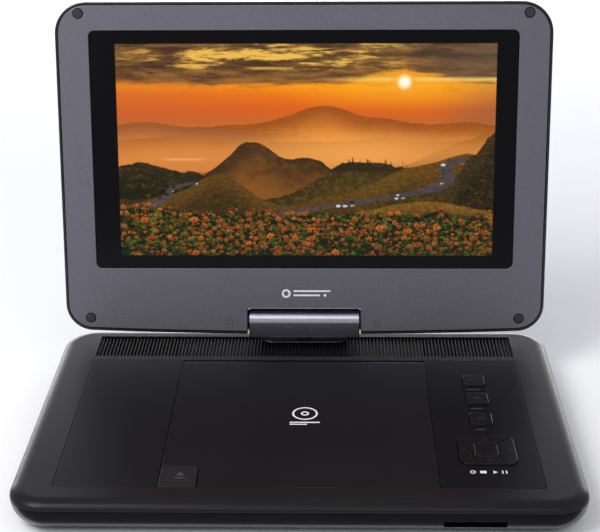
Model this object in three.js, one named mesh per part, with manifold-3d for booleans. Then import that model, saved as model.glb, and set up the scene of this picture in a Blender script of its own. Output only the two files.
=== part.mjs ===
// Portable disc player with a tilting, swivelling 10 inch screen: an assembly of separate named pieces.
// Millimetres, +Z up, +X to the player's right, -Y towards the person using it.
// The player stands on its four feet at Z = 0; the origin is the bottom centre of the whole object's box.
import * as THREE from 'three';
import { mergeVertices } from 'three/addons/utils/BufferGeometryUtils.js';
import Module from 'manifold-3d';

const wasm = await Module();
wasm.setup();

// ---------------------------------------------------------------- driving dimensions
const GAP = 0.3;                 // clearance between touching pieces
// base, in its own plan frame: X across, Y from the base's middle, front edge at -BASE_D/2
const BASE_W = 288, BASE_D = 198, BASE_R = 19;
const FOOT_H = 1.5;              // underside above the table
const SPLIT_Z = 15.5;            // joint line between the two halves of the base
const DECK_Z = 20;               // top surface of the base
const WALL = 2.2;
const SHELL_ROUND = 12;          // how far the lower half tucks in
const DECK_ROUND = 7, DECK_DROP = SPLIT_Z - DECK_Z;
// deck layout
const PANEL_X = 122.5, PANEL_Y0 = -82.4, PANEL_Y1 = 56.5, PLATE = 1.8;
const DIV_X = 70.35;             // seam between disc lid and side panels
const GRILLE_Y0 = 61.9, GRILLE_Y1 = 88.0, GRILLE_Z = 19.6;
// disc bay
const DISC_Y = -14.5, WELL_R = 62.5, WELL_FLOOR = 12, WELL_TOP = 17.9;
const HINGE_Y = 53.9, HINGE_Z = 17.4, BEAD_R = 2.6;   // disc lid hinge
const TAB_X = -50.9, TAB_Y = -61.9;                   // inner corner of the open button
// keys
const KEY_X = 96.8, KEY_Y = [31.7, 10.3, -12.8], KEY_W = 12, KEY_D = 12.6;
const PAD_Y = -45.6, PAD_S = 29.4, OK_W = 11.5, OK_D = 13.6, KEY_TOP = 20.6;
// screen hinge: tilt and swivel axes cross here
const PIV_Y = 88.8, PIV_Z = DECK_Z + 11.5;
const TILT = 9.5;                // lean of the screen at rest, degrees back from upright
const BARREL_W = 66, BARREL_R = 7.3, BARREL_BOTTOM = DECK_Z + 2.3;
// screen: x across, u up the screen from the tilt axis, v out of its front
const LID_HW = 141.8, LID_TOP = 188.6, LID_BOT = -7, LID_SAG = 2.3;
const LID_FRONT = 8.6, LID_BACK = -5.4, RIM = 1.5;
const WIN_W = 245.4, WIN_H = 139.2, WIN_U0 = 33.4;
const NOTCH_HW = 33.8, NOTCH_U = 8.9;

// ---------------------------------------------------------------- geometry helpers
function solid(geometry) {
  const g = geometry.clone();
  g.deleteAttribute('normal');
  g.deleteAttribute('uv');
  const m = mergeVertices(g, 1e-4);
  const src = m.index.array, tri = [];
  for (let i = 0; i < src.length; i += 3) {
    const a = src[i], b = src[i + 1], c = src[i + 2];
    if (a !== b && b !== c && a !== c) tri.push(a, b, c);
  }
  return new wasm.Manifold(new wasm.Mesh({
    numProp: 3,
    vertProperties: new Float32Array(m.attributes.position.array),
    triVerts: new Uint32Array(tri),
  }));
}
const box = (x0, x1, y0, y1, z0, z1) => {
  const g = new THREE.BoxGeometry(x1 - x0, y1 - y0, z1 - z0);
  g.translate((x0 + x1) / 2, (y0 + y1) / 2, (z0 + z1) / 2);
  return solid(g);
};
const cylZ = (r, z0, z1, x = 0, y = 0, n = 32, r2 = r) => {
  const g = new THREE.CylinderGeometry(r2, r, z1 - z0, n);
  g.rotateX(Math.PI / 2);
  g.translate(x, y, (z0 + z1) / 2);
  return solid(g);
};
const cylX = (r, x0, x1, y, z, n = 24) => {
  const g = new THREE.CylinderGeometry(r, r, x1 - x0, n);
  g.rotateZ(-Math.PI / 2);
  g.translate((x0 + x1) / 2, y, z);
  return solid(g);
};
const cylY = (r, y0, y1, x, z, n = 24) => {
  const g = new THREE.CylinderGeometry(r, r, y1 - y0, n);
  g.translate(x, (y0 + y1) / 2, z);
  return solid(g);
};
function rrect(x0, x1, y0, y1, r) {
  const s = new THREE.Shape();
  s.moveTo(x0 + r, y0);
  s.lineTo(x1 - r, y0);
  s.absarc(x1 - r, y0 + r, r, -Math.PI / 2, 0, false);
  s.lineTo(x1, y1 - r);
  s.absarc(x1 - r, y1 - r, r, 0, Math.PI / 2, false);
  s.lineTo(x0 + r, y1);
  s.absarc(x0 + r, y1 - r, r, Math.PI / 2, Math.PI, false);
  s.lineTo(x0, y0 + r);
  s.absarc(x0 + r, y0 + r, r, Math.PI, Math.PI * 1.5, false);
  return s;
}
const prism = (shape, z0, z1, seg = 5) => {
  const g = new THREE.ExtrudeGeometry(shape, { depth: z1 - z0, bevelEnabled: false, curveSegments: seg });
  g.translate(0, 0, z0);
  return solid(g);
};
// a prism whose lower and upper edges are both rounded; z0 and z1 are its full height
const rounded = (shape, z0, z1, size, thick, seg = 5, steps = 5) => {
  const g = new THREE.ExtrudeGeometry(shape, {
    depth: z1 - z0 - 2 * thick, bevelEnabled: true, bevelSize: size, bevelThickness: thick,
    bevelSegments: steps, curveSegments: seg,
  });
  g.translate(0, 0, z0 + thick);
  return solid(g);
};
const sum = (...parts) => parts.reduce((a, b) => a.add(b));
const cut = (a, ...tools) => tools.reduce((m, t) => m.subtract(t), a);

const looks = {
  border: [0x3e3c42, 0.42, 0.1], deck: [0x1c1b20, 0.3, 0.05], grille: [0x141317, 0.5, 0.1],
  body: [0x131216, 0.45, 0], key: [0x222126, 0.35, 0], bezel: [0x55535c, 0.45, 0.25],
  shell: [0x101013, 0.4, 0], glass: [0x14151c, 0.06, 0], rubber: [0x0c0c0d, 0.9, 0],
  metal: [0xa9abb0, 0.35, 1], board: [0x1d4a2d, 0.6, 0], cell: [0x26303e, 0.6, 0],
  barrel: [0x4d4b56, 0.3, 0.4], well: [0x19191c, 0.5, 0], white: [0x9a9aa2, 0.5, 0],
};
const mats = {};
for (const [k, [color, roughness, metalness]] of Object.entries(looks)) {
  mats[k] = new THREE.MeshStandardMaterial({ color, roughness, metalness });
}
function mesh(name, body, look) {
  const m = body.getMesh();
  const g = new THREE.BufferGeometry();
  g.setAttribute('position', new THREE.BufferAttribute(new Float32Array(m.vertProperties), 3));
  g.setIndex(new THREE.BufferAttribute(new Uint32Array(m.triVerts), 1));
  g.computeVertexNormals();
  const out = new THREE.Mesh(g, mats[look]);
  out.name = name;
  return out;
}

const player = new THREE.Group();
const base = new THREE.Group();
player.add(base);
const put = (name, body, look) => base.add(mesh(name, body, look));

// ---------------------------------------------------------------- base: lower half
const hw = BASE_W / 2, hd = BASE_D / 2;
{
  const outer = rounded(rrect(-hw + SHELL_ROUND, hw - SHELL_ROUND, -hd + SHELL_ROUND, hd - SHELL_ROUND, BASE_R - SHELL_ROUND),
    FOOT_H, 40, SHELL_ROUND, SPLIT_Z - GAP - FOOT_H, 4, 5);
  const inner = rounded(rrect(-hw + WALL + 10, hw - WALL - 10, -hd + WALL + 10, hd - WALL - 10, 7),
    FOOT_H + 2, 40, 10, 11.2, 3, 3);
  let s = cut(outer, box(-200, 200, -200, 200, SPLIT_Z - GAP, 60), inner);
  // screw posts, speaker and battery walls, thumbwheel axle
  for (const x of [-130.5, 130.5]) for (const y of [-76, 76]) {
    s = sum(s, cylZ(4, FOOT_H + 1, 9, x, y, 12));
    s = cut(s, cylZ(1.75, 0, 12, x, y, 8), cylZ(3.1, 0, 4.5, x, y, 12));
  }
  s = sum(s, cylZ(1.2, 3, 11.2, 136.6, -48, 10));
  // feet recesses
  for (const x of [-116, 116]) for (const y of [-76, 76]) s = cut(s, cylZ(6.4, 0, 2.1, x, y, 16));
  // battery bay and cooling slots in the floor
  s = cut(s, box(72, 122, -62, 42, 0, 3.0), box(74, 120, -60, 40, 0, 5));
  for (let i = 0; i < 9; i++) s = cut(s, box(-110, -80, -44 + i * 6, -42 + i * 6, 0, 5));
  // front card and memory-stick slot, right-hand sockets, switch and thumbwheel windows
  s = cut(s, box(71.2, 102.2, -110, -80, 6.2, 10.8));
  for (const y of [45, 27, 9]) s = cut(s, cylX(3.45, 134, 150, y, 9, 14));
  s = cut(s, box(134, 150, -32.1, -22.8, 7.4, 10.8), box(138.4, 150, -55.2, -40.8, 7.3, 10.9));
  put('bottom_shell', s, 'body');
}
for (const [i, [x, y]] of [[-116, -76], [116, -76], [-116, 76], [116, 76]].entries()) {
  put(['foot_front_left', 'foot_front_right', 'foot_rear_left', 'foot_rear_right'][i],
    sum(cylZ(5.4, 0, 0.5, x, y, 16, 6), cylZ(6, 0.5, 1.8, x, y, 16)), 'rubber');
}
for (const [i, [x, y]] of [[-130.5, -76], [130.5, -76], [-130.5, 76], [130.5, 76]].entries()) {
  put(`case_screw_${i + 1}`, cut(sum(cylZ(2.7, 2.8, 4.2, x, y, 10), cylZ(1.3, 4.1, 12.6, x, y, 8)),
    box(x - 1.6, x + 1.6, y - 0.35, y + 0.35, 2.5, 3.5), box(x - 0.35, x + 0.35, y - 1.6, y + 1.6, 2.5, 3.5)), 'metal');
}
put('battery_door', cut(sum(prism(rrect(72.3, 121.7, -61.7, 41.7, 0.6), FOOT_H, 2.7, 2)),
  ...[0, 1, 2, 3].map((i) => box(90, 104, 30 + i * 2, 31 + i * 2, 1, 2))), 'body');
put('battery_pack', cut(rounded(rrect(75.5, 118.5, -58.5, 38.5, 3), 3.4, 11.8, 1.2, 1.2, 3, 2), box(60, 140, -10.2, -9.8, 11.4, 14)), 'cell');

// ---------------------------------------------------------------- base: upper half
{
  const outer = rounded(rrect(-hw + DECK_ROUND, hw - DECK_ROUND, -hd + DECK_ROUND, hd - DECK_ROUND, BASE_R - DECK_ROUND),
    -20, DECK_Z, DECK_ROUND, -DECK_DROP, 4, 4);
  const inner = rounded(rrect(-hw + WALL + 5.5, hw - WALL - 5.5, -hd + WALL + 5.5, hd - WALL - 5.5, 11.3),
    -20, 18, 5.5, 3, 3, 2);
  let s = cut(outer, box(-200, 200, -200, 200, -60, SPLIT_Z), inner);
  const g = GAP;
  // ledges that the deck panels lie on, and dividers under the seams of the disc lid
  s = sum(s,
    box(-PANEL_X - 3.0, PANEL_X + 3.0, PANEL_Y0 - 3.4, PANEL_Y0 + 2.1, 15.95, 18.5),
    box(-PANEL_X - 3.4, -PANEL_X + 2.2, PANEL_Y0 - 3.4, GRILLE_Y1 + 3, 15.8, 18.5),
    box(PANEL_X - 2.2, PANEL_X + 3.4, PANEL_Y0 - 3.4, GRILLE_Y1 + 3, 15.8, 18.5),
    box(-PANEL_X, -DIV_X - 0.5, PANEL_Y1 - 1.8, GRILLE_Y0 + 1.7, 16.1, 18.5), box(DIV_X + 0.5, PANEL_X, PANEL_Y1 - 1.8, GRILLE_Y0 + 1.7, 16.1, 18.5),
    box(-DIV_X - 1, DIV_X + 1, PANEL_Y1 + g, GRILLE_Y0 + 1.6, 14.5, 18.5),
    box(-PANEL_X - 1, PANEL_X + 1, GRILLE_Y1 - 1.7, GRILLE_Y1 + 2.6, 16.25, 18.5),
    box(-DIV_X - 3.3, -DIV_X - g, PANEL_Y0 + 1, PANEL_Y1 - 0.5, 13, 18), box(DIV_X + g, DIV_X + 3.3, PANEL_Y0 + 1, PANEL_Y1 - 0.5, 13, 18));
  for (const x of [-130.5, 130.5]) for (const y of [-76, 76]) s = sum(s, cylZ(3.4, 9.3, 18.4, x, y, 12));
  s = cut(s,
    box(-PANEL_X - g, PANEL_X + g, PANEL_Y0 - g, PANEL_Y1 + g, WELL_TOP, 30),
    box(-PANEL_X - g, PANEL_X + g, GRILLE_Y0 - g, GRILLE_Y1 + g, WELL_TOP, 30),
    // clearance for the open button and for the disc lid's two pivot pins
    box(-DIV_X - 0.1, TAB_X + 0.8, PANEL_Y0 - g, PANEL_Y0 + 3.1, 16.5, 30),
    box(-DIV_X - 3.6, -DIV_X + 0.3, HINGE_Y - 1.1, HINGE_Y + 1.1, 16.3, 19), box(DIV_X - 0.3, DIV_X + 3.6, HINGE_Y - 1.1, HINGE_Y + 1.1, 16.3, 19),
    cylZ(5.65, 10, 30, 0, PIV_Y, 20));
  // a strip between the side panels and the grille, kept at full height
  s = sum(s, box(-PANEL_X - 1, PANEL_X + 1, PANEL_Y1 + g, GRILLE_Y0 - g, 16.4, DECK_Z - 0.02));
  for (const x of [-130.5, 130.5]) for (const y of [-76, 76]) s = cut(s, cylZ(1.65, 8, 13, x, y, 8));
  put('top_shell', s, 'border');
}

// deck panels
put('left_panel', prism(rrect(-PANEL_X, -DIV_X, PANEL_Y0, PANEL_Y1, 0.5), DECK_Z - PLATE, DECK_Z, 2), 'deck');
const padShape = (s, r, k = 0) => rrect(KEY_X - s / 2 - k, KEY_X + s / 2 + k, PAD_Y - s / 2 - k, PAD_Y + s / 2 + k, r + k);
{
  let s = prism(rrect(DIV_X, PANEL_X, PANEL_Y0, PANEL_Y1, 0.5), DECK_Z - PLATE, DECK_Z, 2);
  for (const y of KEY_Y) s = cut(s, prism(rrect(KEY_X - KEY_W / 2 - GAP, KEY_X + KEY_W / 2 + GAP, y - KEY_D / 2 - GAP, y + KEY_D / 2 + GAP, 1.5), 10, 30, 2));
  s = cut(s, prism(padShape(PAD_S, 5, GAP), 10, 30, 4));
  put('keypad_panel', s, 'deck');
}
for (const [i, y] of KEY_Y.entries()) {
  put(`key_${i + 1}`, sum(
    prism(rrect(KEY_X - KEY_W / 2, KEY_X + KEY_W / 2, y - KEY_D / 2, y + KEY_D / 2, 1.2), 17.6, KEY_TOP, 2),
    prism(rrect(KEY_X - KEY_W / 2 - 1, KEY_X + KEY_W / 2 + 1, y - KEY_D / 2 - 1, y + KEY_D / 2 + 1, 1.2), 16.6, 17.8, 1),
    cylZ(2, 14.3, 16.8, KEY_X, y, 10)), 'key');
}
{
  const okHole = prism(rrect(KEY_X - OK_W / 2 - GAP, KEY_X + OK_W / 2 + GAP, PAD_Y - OK_D / 2 - GAP, PAD_Y + OK_D / 2 + GAP, 2.1), 10, 30, 3);
  const cap = prism(padShape(PAD_S, 5), 17.6, KEY_TOP, 4), foot = prism(padShape(PAD_S, 5, 0.8), 16.6, 17.8, 2);
  const dirs = { up: [0, 1], down: [0, -1], left: [-1, 0], right: [1, 0] };
  for (const [name, [dx, dy]] of Object.entries(dirs)) {
    const w = new THREE.Shape();
    const o = 0.3, L = 40;
    const P = (a, b) => [KEY_X + dx * a - dy * b, PAD_Y + dy * a + dx * b];
    w.moveTo(...P(o, 0));
    w.lineTo(...P(o + L, -L));
    w.lineTo(...P(o + L, L));
    w.closePath();
    const wedge = prism(w, 10, 30, 2);
    const key = cut(sum(cap, foot), okHole).intersect(wedge);
    put(`key_${name}`, sum(key, cylZ(1.6, 14.3, 16.8, KEY_X + dx * 11, PAD_Y + dy * 11.6, 10)), 'key');
  }
  put('key_ok', sum(prism(rrect(KEY_X - OK_W / 2, KEY_X + OK_W / 2, PAD_Y - OK_D / 2, PAD_Y + OK_D / 2, 1.8), 16.6, KEY_TOP, 3),
    cylZ(2, 14.3, 16.8, KEY_X, PAD_Y, 10)), 'key');
}
put('key_board', cut(box(79, 119, -70, 44, 12.2, 13.4), cylZ(1.6, 10, 15, 82, 38, 12), cylZ(1.6, 10, 15, 116, -66, 12)), 'board');

// speaker grille: a strip with slots over the two speakers
{
  let s = box(-PANEL_X, PANEL_X, GRILLE_Y0, GRILLE_Y1, DECK_Z - PLATE, GRILLE_Z);
  for (const c of [-95, 95]) for (let i = 0; i < 12; i++) {
    const x = c - 22 + i * 4;
    s = cut(s, box(x - 0.9, x + 0.9, 66, 84, 10, 30));
  }
  s = cut(s, cylZ(5.65, 10, 30, 0, PIV_Y, 20));
  put('speaker_grille', s, 'grille');
}
for (const [name, c] of [['speaker_left', -95], ['speaker_right', 95]]) {
  put(name, cut(sum(prism(rrect(c - 22, c + 22, 64.6, 85.2, 4), 15.2, 17.3, 2), cylZ(8.5, 9, 15.4, c, 74.9, 16)),
    cylZ(4, 15.9, 20, c - 8, 74.9, 14, 8), cylZ(4, 15.9, 20, c + 8, 74.9, 14, 8)), 'rubber');
}

// ---------------------------------------------------------------- disc bay and drive
{
  let s = sum(box(-DIV_X + 0.2, DIV_X - 0.2, PANEL_Y0 + 2.5, HINGE_Y - 3.0, 16.4, WELL_TOP), cylZ(64.4, 10.5, WELL_TOP, 0, DISC_Y, 48));
  s = cut(s, cylZ(WELL_R, WELL_FLOOR, 30, 0, DISC_Y, 48), cylZ(3.2, 5, 30, 0, DISC_Y, 14),
    prism(rrect(-8, 8, -77.5, -33.8, 3), 5, 30, 2),
    box(-80, TAB_X + 0.9, -90, TAB_Y + 0.9, 5, 30),      // corner left free for the open button
    box(-37.2, -32.2, -79.6, -75.1, 15, 30));             // slot for the lid's hook
  put('disc_well', s, 'well');
}
{
  // plate with a rolled rear edge, drawn in section and run across the lid
  const under = DECK_Z - PLATE, a0 = Math.PI - Math.asin((under - HINGE_Z) / BEAD_R);
  const sec = new THREE.Shape();
  sec.moveTo(PANEL_Y0, under);
  sec.lineTo(HINGE_Y - BEAD_R - 0.5, under);
  sec.absarc(HINGE_Y, HINGE_Z, BEAD_R, a0, Math.PI * 2.5, false);
  sec.lineTo(PANEL_Y0, DECK_Z);
  sec.closePath();
  const g = new THREE.ExtrudeGeometry(sec, { depth: 2 * DIV_X - 0.8, bevelEnabled: false, curveSegments: 16 });
  g.rotateX(Math.PI / 2);
  g.rotateZ(Math.PI / 2);
  g.translate(-DIV_X + 0.4, 0, 0);
  let s = solid(g);
  s = cut(s, prism(rrect(-90, TAB_X + 0.5, -100, TAB_Y + 0.5, 4), 10, 30, 5));
  s = sum(s, cut(cylZ(50, 16.6, 18.6, 0, DISC_Y, 36), cylZ(48.8, 10, 30, 0, DISC_Y, 36)),
    box(-35.6, -33.2, -78.7, -76.3, 12.6, 18.6), cylX(0.7, -DIV_X - 2, DIV_X + 2, HINGE_Y, HINGE_Z, 8));
  put('disc_lid', s, 'deck');
}
{
  const s = new THREE.Shape(), x0 = -DIV_X + 0.4, r = 3.4;
  s.moveTo(x0, PANEL_Y0);
  s.lineTo(TAB_X, PANEL_Y0);
  s.lineTo(TAB_X, TAB_Y - r);
  s.absarc(TAB_X - r, TAB_Y - r, r, 0, Math.PI / 2, false);
  s.lineTo(x0, TAB_Y);
  s.closePath();
  put('open_button', sum(prism(s, DECK_Z - PLATE, DECK_Z, 5), box(-62, -58.4, -76.8, -71.8, 14.6, 18.6)), 'key');
}
put('latch_slider', cut(sum(box(-57.6, -38.2, -78.9, -74.9, 12.4, 14.2), box(-40.9, -38.6, -78.9, -74.9, 14, 15.6)),
  box(-54, -44, -77.7, -76.1, 10, 16)), 'white');

// drive chassis with its two guide rods, the disc motor, the pickup sled and its feed screw
{
  let s = box(-45, 45, -87, 30, 8.9, 10.1);
  s = cut(s, box(-19.5, 19.5, -83.6, -27, 0, 20), box(19, 28.5, -83.6, -6, 0, 20), cylZ(3.2, 0, 20, 0, DISC_Y, 14),
    cylZ(11, 0, 20, -30, 12, 16), cylZ(1.8, 0, 20, -40, 25, 8), cylZ(1.8, 0, 20, 40, 25, 8),
    cylZ(1.8, 0, 20, -40, -82, 8), cylZ(1.8, 0, 20, 40, -82, 8));
  for (const x of [-13.5, 13.5]) for (const y of [-86.6, -26.4]) {
    s = sum(s, box(x - 2.6, x + 2.6, y, y + 2.4, 4.4, 9.2));
  }
  s = sum(s, box(20.4, 25.6, -86.6, -84.2, 4.8, 9.2));
  for (const x of [-13.5, 13.5]) s = cut(s, cylY(1.8, -95, 0, x, 6.5, 10).intersect(sum(box(x - 3, x + 3, -90, -80, 0, 8.8), box(x - 3, x + 3, -27, -20, 0, 8.8))));
  s = cut(s, cylY(1.5, -90, -84, 23, 7, 10));
  put('drive_chassis', s, 'metal');
}
for (const [name, x] of [['guide_rod_left', -13.5], ['guide_rod_right', 13.5]]) put(name, cylY(1.45, -86.8, -23.8, x, 6.5, 12), 'metal');
put('spindle_motor', sum(cylZ(10.5, 4.6, 8.6, 0, DISC_Y, 24), cylZ(2.6, 8.4, 9.6, 0, DISC_Y, 10)), 'metal');
put('spindle_hub', cut(sum(cylZ(13, 12.5, 13.6, 0, DISC_Y, 28), cylZ(7.2, 13.4, 16.6, 0, DISC_Y, 20), cylZ(7.2, 16.6, 17.4, 0, DISC_Y, 20, 5.4),
  cylZ(1.6, 9.9, 12.7, 0, DISC_Y, 10)), ...[0, 1, 2].map((i) => {
  const a = Math.PI / 2 + i * Math.PI * 2 / 3;
  return cylZ(1.1, 15.6, 20, Math.cos(a) * 3.9, DISC_Y + Math.sin(a) * 3.9, 8);
})), 'well');
{
  // the carriage rides on both rods; its lens looks up through the slot in the well
  const y = -46;
  let s = sum(box(-17, 17, y - 9, y + 9, 4.4, 8.6), box(16, 25.6, y - 3, y + 3, 5.0, 9.4), cylZ(5.2, 8.4, 10.2, 0, y, 16), cylZ(3.2, 10, 12.2, 0, y, 16));
  for (const x of [-13.5, 13.5]) s = cut(s, cylY(1.85, y - 12, y + 12, x, 6.5, 12));
  s = cut(s, cylY(1.6, y - 5, y + 5, 23, 7, 12), cylZ(2.2, 11.8, 13, 0, y, 12));
  put('pickup_sled', s, 'white');
}
put('feed_screw', sum(cylY(1.15, -86.2, -23.4, 23, 7, 12), cylY(2.0, -30.6, -28.8, 23, 7, 12)), 'metal');
put('sled_motor', cut(cylY(3.1, -28.2, -10, 23, 7, 16), cylY(1.55, -29, -22.8, 23, 7, 10)), 'metal');

// ---------------------------------------------------------------- boards and sockets in the base
put('main_board', sum(box(-121, -77, -72, 52, 6.2, 7.6), box(-112, -94, -30, -12, 7.4, 9.2), box(-110, -98, 6, 18, 7.4, 8.8), box(-92, -82, -50, -36, 7.4, 10.4), box(-118, -108, 34, 46, 7.4, 12)), 'board');
put('card_socket', cut(box(68.6, 104.8, -90.6, -66, 4.9, 11.9), box(71.2, 102.2, -100, -67.5, 6.2, 10.8)), 'metal');
for (const [name, y, r] of [['dc_jack', 45, 2.75], ['av_jack', 27, 1.8], ['headphone_jack', 9, 1.8]]) {
  let s = cut(sum(box(128, 137, y - 4.6, y + 4.6, 6.3, 12.4), cylX(3.1, 136.8, 142, y, 9, 14)), cylX(r, 131, 150, y, 9, 12));
  if (name === 'dc_jack') s = sum(s, cylX(0.9, 130.5, 141, y, 9, 8));
  put(name, s, 'rubber');
}
put('power_switch', sum(box(136, 138.9, -34, -25, 7.6, 10.8), box(138.5, 143.4, -31.8, -27.3, 7.7, 10.5)), 'key');
{
  const s = new THREE.Shape();
  const n = 18;
  for (let i = 0; i < n * 2; i++) {
    const a = i / (n * 2) * Math.PI * 2, r = i % 2 ? 6.65 : 7.0;
    s[i ? 'lineTo' : 'moveTo'](136.6 + r * Math.cos(a), -48 + r * Math.sin(a));
  }
  s.closePath();
  put('volume_wheel', cut(prism(s, 7.8, 10.4, 2), cylZ(1.55, 5, 12, 136.6, -48, 12)), 'key');
}

// ---------------------------------------------------------------- swivel and tilt hinge
put('swivel_seat', cut(sum(prism(rrect(-26, 26, 78.6, 97.4, 8), DECK_Z + GAP, DECK_Z + 1.3, 4), cylZ(5.25, 13.6, DECK_Z + 0.6, 0, PIV_Y, 20)),
  cylZ(4.4, 5, 30, 0, PIV_Y, 20)), 'shell');
put('swivel_post', sum(cylZ(6.4, 11.4, 13.2, 0, PIV_Y, 20), cylZ(4.05, 13, 26.8, 0, PIV_Y, 20)), 'metal');
{
  // hinge cover: a half-round top over flat front and back faces
  const s = new THREE.Shape();
  const zc = PIV_Z, r = BARREL_R, b = BARREL_BOTTOM, c = 1.2;
  s.moveTo(-r + c, b);
  s.lineTo(r - c, b);
  s.lineTo(r, b + c);
  s.lineTo(r, zc);
  s.absarc(0, zc, r, 0, Math.PI, false);
  s.lineTo(-r, b + c);
  s.closePath();
  const g = new THREE.ExtrudeGeometry(s, { depth: BARREL_W - 1.2, bevelEnabled: true, bevelSize: 0.6, bevelOffset: -0.6, bevelThickness: 0.6, bevelSegments: 1, curveSegments: 14 });
  g.rotateX(Math.PI / 2);      // profile height from +Y to +Z
  g.rotateZ(Math.PI / 2);      // length from -Y to +X
  const bb = new THREE.Box3().setFromBufferAttribute(g.attributes.position);
  g.translate(-(bb.min.x + bb.max.x) / 2, PIV_Y - (bb.min.y + bb.max.y) / 2, 0);
  put('hinge_cover', cut(solid(g), cylX(2.3, -50, 50, PIV_Y, PIV_Z, 16), cylZ(4.4, 10, 27.1, 0, PIV_Y, 20)), 'barrel');
}
put('tilt_shaft', cylX(2.0, -49, 49, PIV_Y, PIV_Z, 16), 'metal');

// ---------------------------------------------------------------- screen
const lid = new THREE.Group();
lid.position.set(0, PIV_Y, PIV_Z);
lid.rotation.x = THREE.MathUtils.degToRad(90 - TILT);
player.add(lid);
const put2 = (name, body, look) => lid.add(mesh(name, body, look));
function lidShape(k) {
  const s = new THREE.Shape();
  const rt = 18 - k, rb = 16 - k, x = LID_HW - k, t = LID_TOP - k, b = LID_BOT + LID_SAG + k;
  s.moveTo(-x + rb, b);
  s.quadraticCurveTo(0, b - 2 * LID_SAG, x - rb, b);
  s.absarc(x - rb, b + rb, rb, -Math.PI / 2, 0, false);
  s.lineTo(x, t - rt);
  s.absarc(x - rt, t - rt, rt, 0, Math.PI / 2, false);
  s.lineTo(-x + rt, t);
  s.absarc(-x + rt, t - rt, rt, Math.PI / 2, Math.PI, false);
  s.lineTo(-x, b + rb);
  s.absarc(-x + rb, b + rb, rb, Math.PI, Math.PI * 1.5, false);
  return s;
}
const notch = box(-NOTCH_HW, NOTCH_HW, -40, NOTCH_U, -40, 40);
{
  const outer = rounded(lidShape(5), LID_BACK, 30, 5, 4, 5, 4);
  const inner = cut(rounded(lidShape(RIM + 4), LID_BACK + 1.8, 30, 4, 3, 5, 2),
    box(-NOTCH_HW - 1.9, NOTCH_HW + 1.9, -40, NOTCH_U + 1.9, -40, LID_FRONT - 2.3));
  const s = cut(outer, box(-200, 200, -100, 300, LID_FRONT, 60), inner, notch, cylX(2.4, -60, 60, 0, 0, 14));
  put2('lid_rear_shell', s, 'shell');
}
const plugs = [['screw_plug_top_left', -128.1, 182.2], ['screw_plug_top_right', 128.1, 182.2],
  ['screw_plug_bottom_left', -127.2, 3.0], ['screw_plug_bottom_right', 127.2, 3.0]];
{
  let s = cut(prism(lidShape(RIM + GAP), LID_FRONT - 2, LID_FRONT, 5), notch,
    prism(rrect(-WIN_W / 2, WIN_W / 2, WIN_U0, WIN_U0 + WIN_H, 3.5), 0, 30, 3));
  for (const [, x, u] of plugs) s = cut(s, cylZ(3.0, 0, 30, x, u, 16));
  put2('lid_bezel', s, 'bezel');
}
for (const [name, x, u] of plugs) put2(name, sum(cylZ(2.65, 6.9, 8.9, x, u, 16), cylZ(2.65, 8.9, 9.4, x, u, 16, 2.2)), 'rubber');
put2('screen_window', prism(rrect(-WIN_W / 2 + GAP, WIN_W / 2 - GAP, WIN_U0 + GAP, WIN_U0 + WIN_H - GAP, 3.2), 7.0, 8.1, 3), 'glass');
put2('lcd_panel', sum(box(-114, 117, 36.5, 169, 1.8, 6.3), box(-100, 100, 31, 38, 3.0, 4.4)), 'metal');
put2('lcd_board', sum(box(-60, 60, 70, 128, -3.0, -1.6), box(-20, 0, 88, 106, -1.8, 0.2), box(20, 34, 92, 104, -1.8, -0.4)), 'board');
for (const [name, sx] of [['hinge_bracket_left', -1], ['hinge_bracket_right', 1]]) {
  const x0 = sx < 0 ? -47 : 38, x1 = sx < 0 ? -38 : 47;
  put2(name, cut(sum(cylX(3.2, x0, x1, 0, 0, 16), box(x0, x1, 0, 29, 1.2, 3.0)), cylX(2.35, x0 - 2, x1 + 2, 0, 0, 14),
    cylZ(1.6, 0, 10, (x0 + x1) / 2, 14, 8), cylZ(1.6, 0, 10, (x0 + x1) / 2, 24, 8)), 'metal');
}

// the origin goes to the bottom centre of the whole object's box
player.updateMatrixWorld(true);
const whole = new THREE.Box3().setFromObject(player, true);
const SHIFT_Y = -(whole.min.y + whole.max.y) / 2;
base.position.y = SHIFT_Y;
lid.position.y += SHIFT_Y;
player.updateMatrixWorld(true);

export default player;
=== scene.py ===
import bpy
import math
import numpy as np
from mathutils import Matrix, Vector
from mathutils.geometry import tessellate_polygon


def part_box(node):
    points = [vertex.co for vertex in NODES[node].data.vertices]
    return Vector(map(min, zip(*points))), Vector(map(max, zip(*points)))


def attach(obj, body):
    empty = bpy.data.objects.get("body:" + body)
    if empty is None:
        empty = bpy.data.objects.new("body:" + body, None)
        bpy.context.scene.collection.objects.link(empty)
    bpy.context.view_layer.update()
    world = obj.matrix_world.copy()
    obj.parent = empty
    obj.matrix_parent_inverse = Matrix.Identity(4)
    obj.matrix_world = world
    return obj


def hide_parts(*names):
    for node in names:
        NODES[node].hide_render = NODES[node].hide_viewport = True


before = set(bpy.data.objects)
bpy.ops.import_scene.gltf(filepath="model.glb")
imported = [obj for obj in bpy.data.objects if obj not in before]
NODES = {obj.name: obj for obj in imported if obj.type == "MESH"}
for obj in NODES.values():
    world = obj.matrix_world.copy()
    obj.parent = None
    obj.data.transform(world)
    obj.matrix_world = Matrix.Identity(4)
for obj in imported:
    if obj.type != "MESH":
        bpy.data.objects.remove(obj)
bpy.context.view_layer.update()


# ------------------------------------------------------------------ dimensions, mm, as in the CAD
BASE_W, BASE_D, BASE_R = 288.0, 198.0, 19.0
FOOT_H, SPLIT_Z, DECK_Z, WALL = 1.5, 15.5, 20.0, 2.2
SHELL_ROUND, DECK_ROUND, GAP = 12.0, 7.0, 0.3
PANEL_X, PANEL_Y0, PANEL_Y1, PLATE, DIV_X = 122.5, -82.4, 56.5, 1.8, 70.35
GRILLE_Y0, GRILLE_Y1, GRILLE_Z = 61.9, 88.0, 19.6
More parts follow.
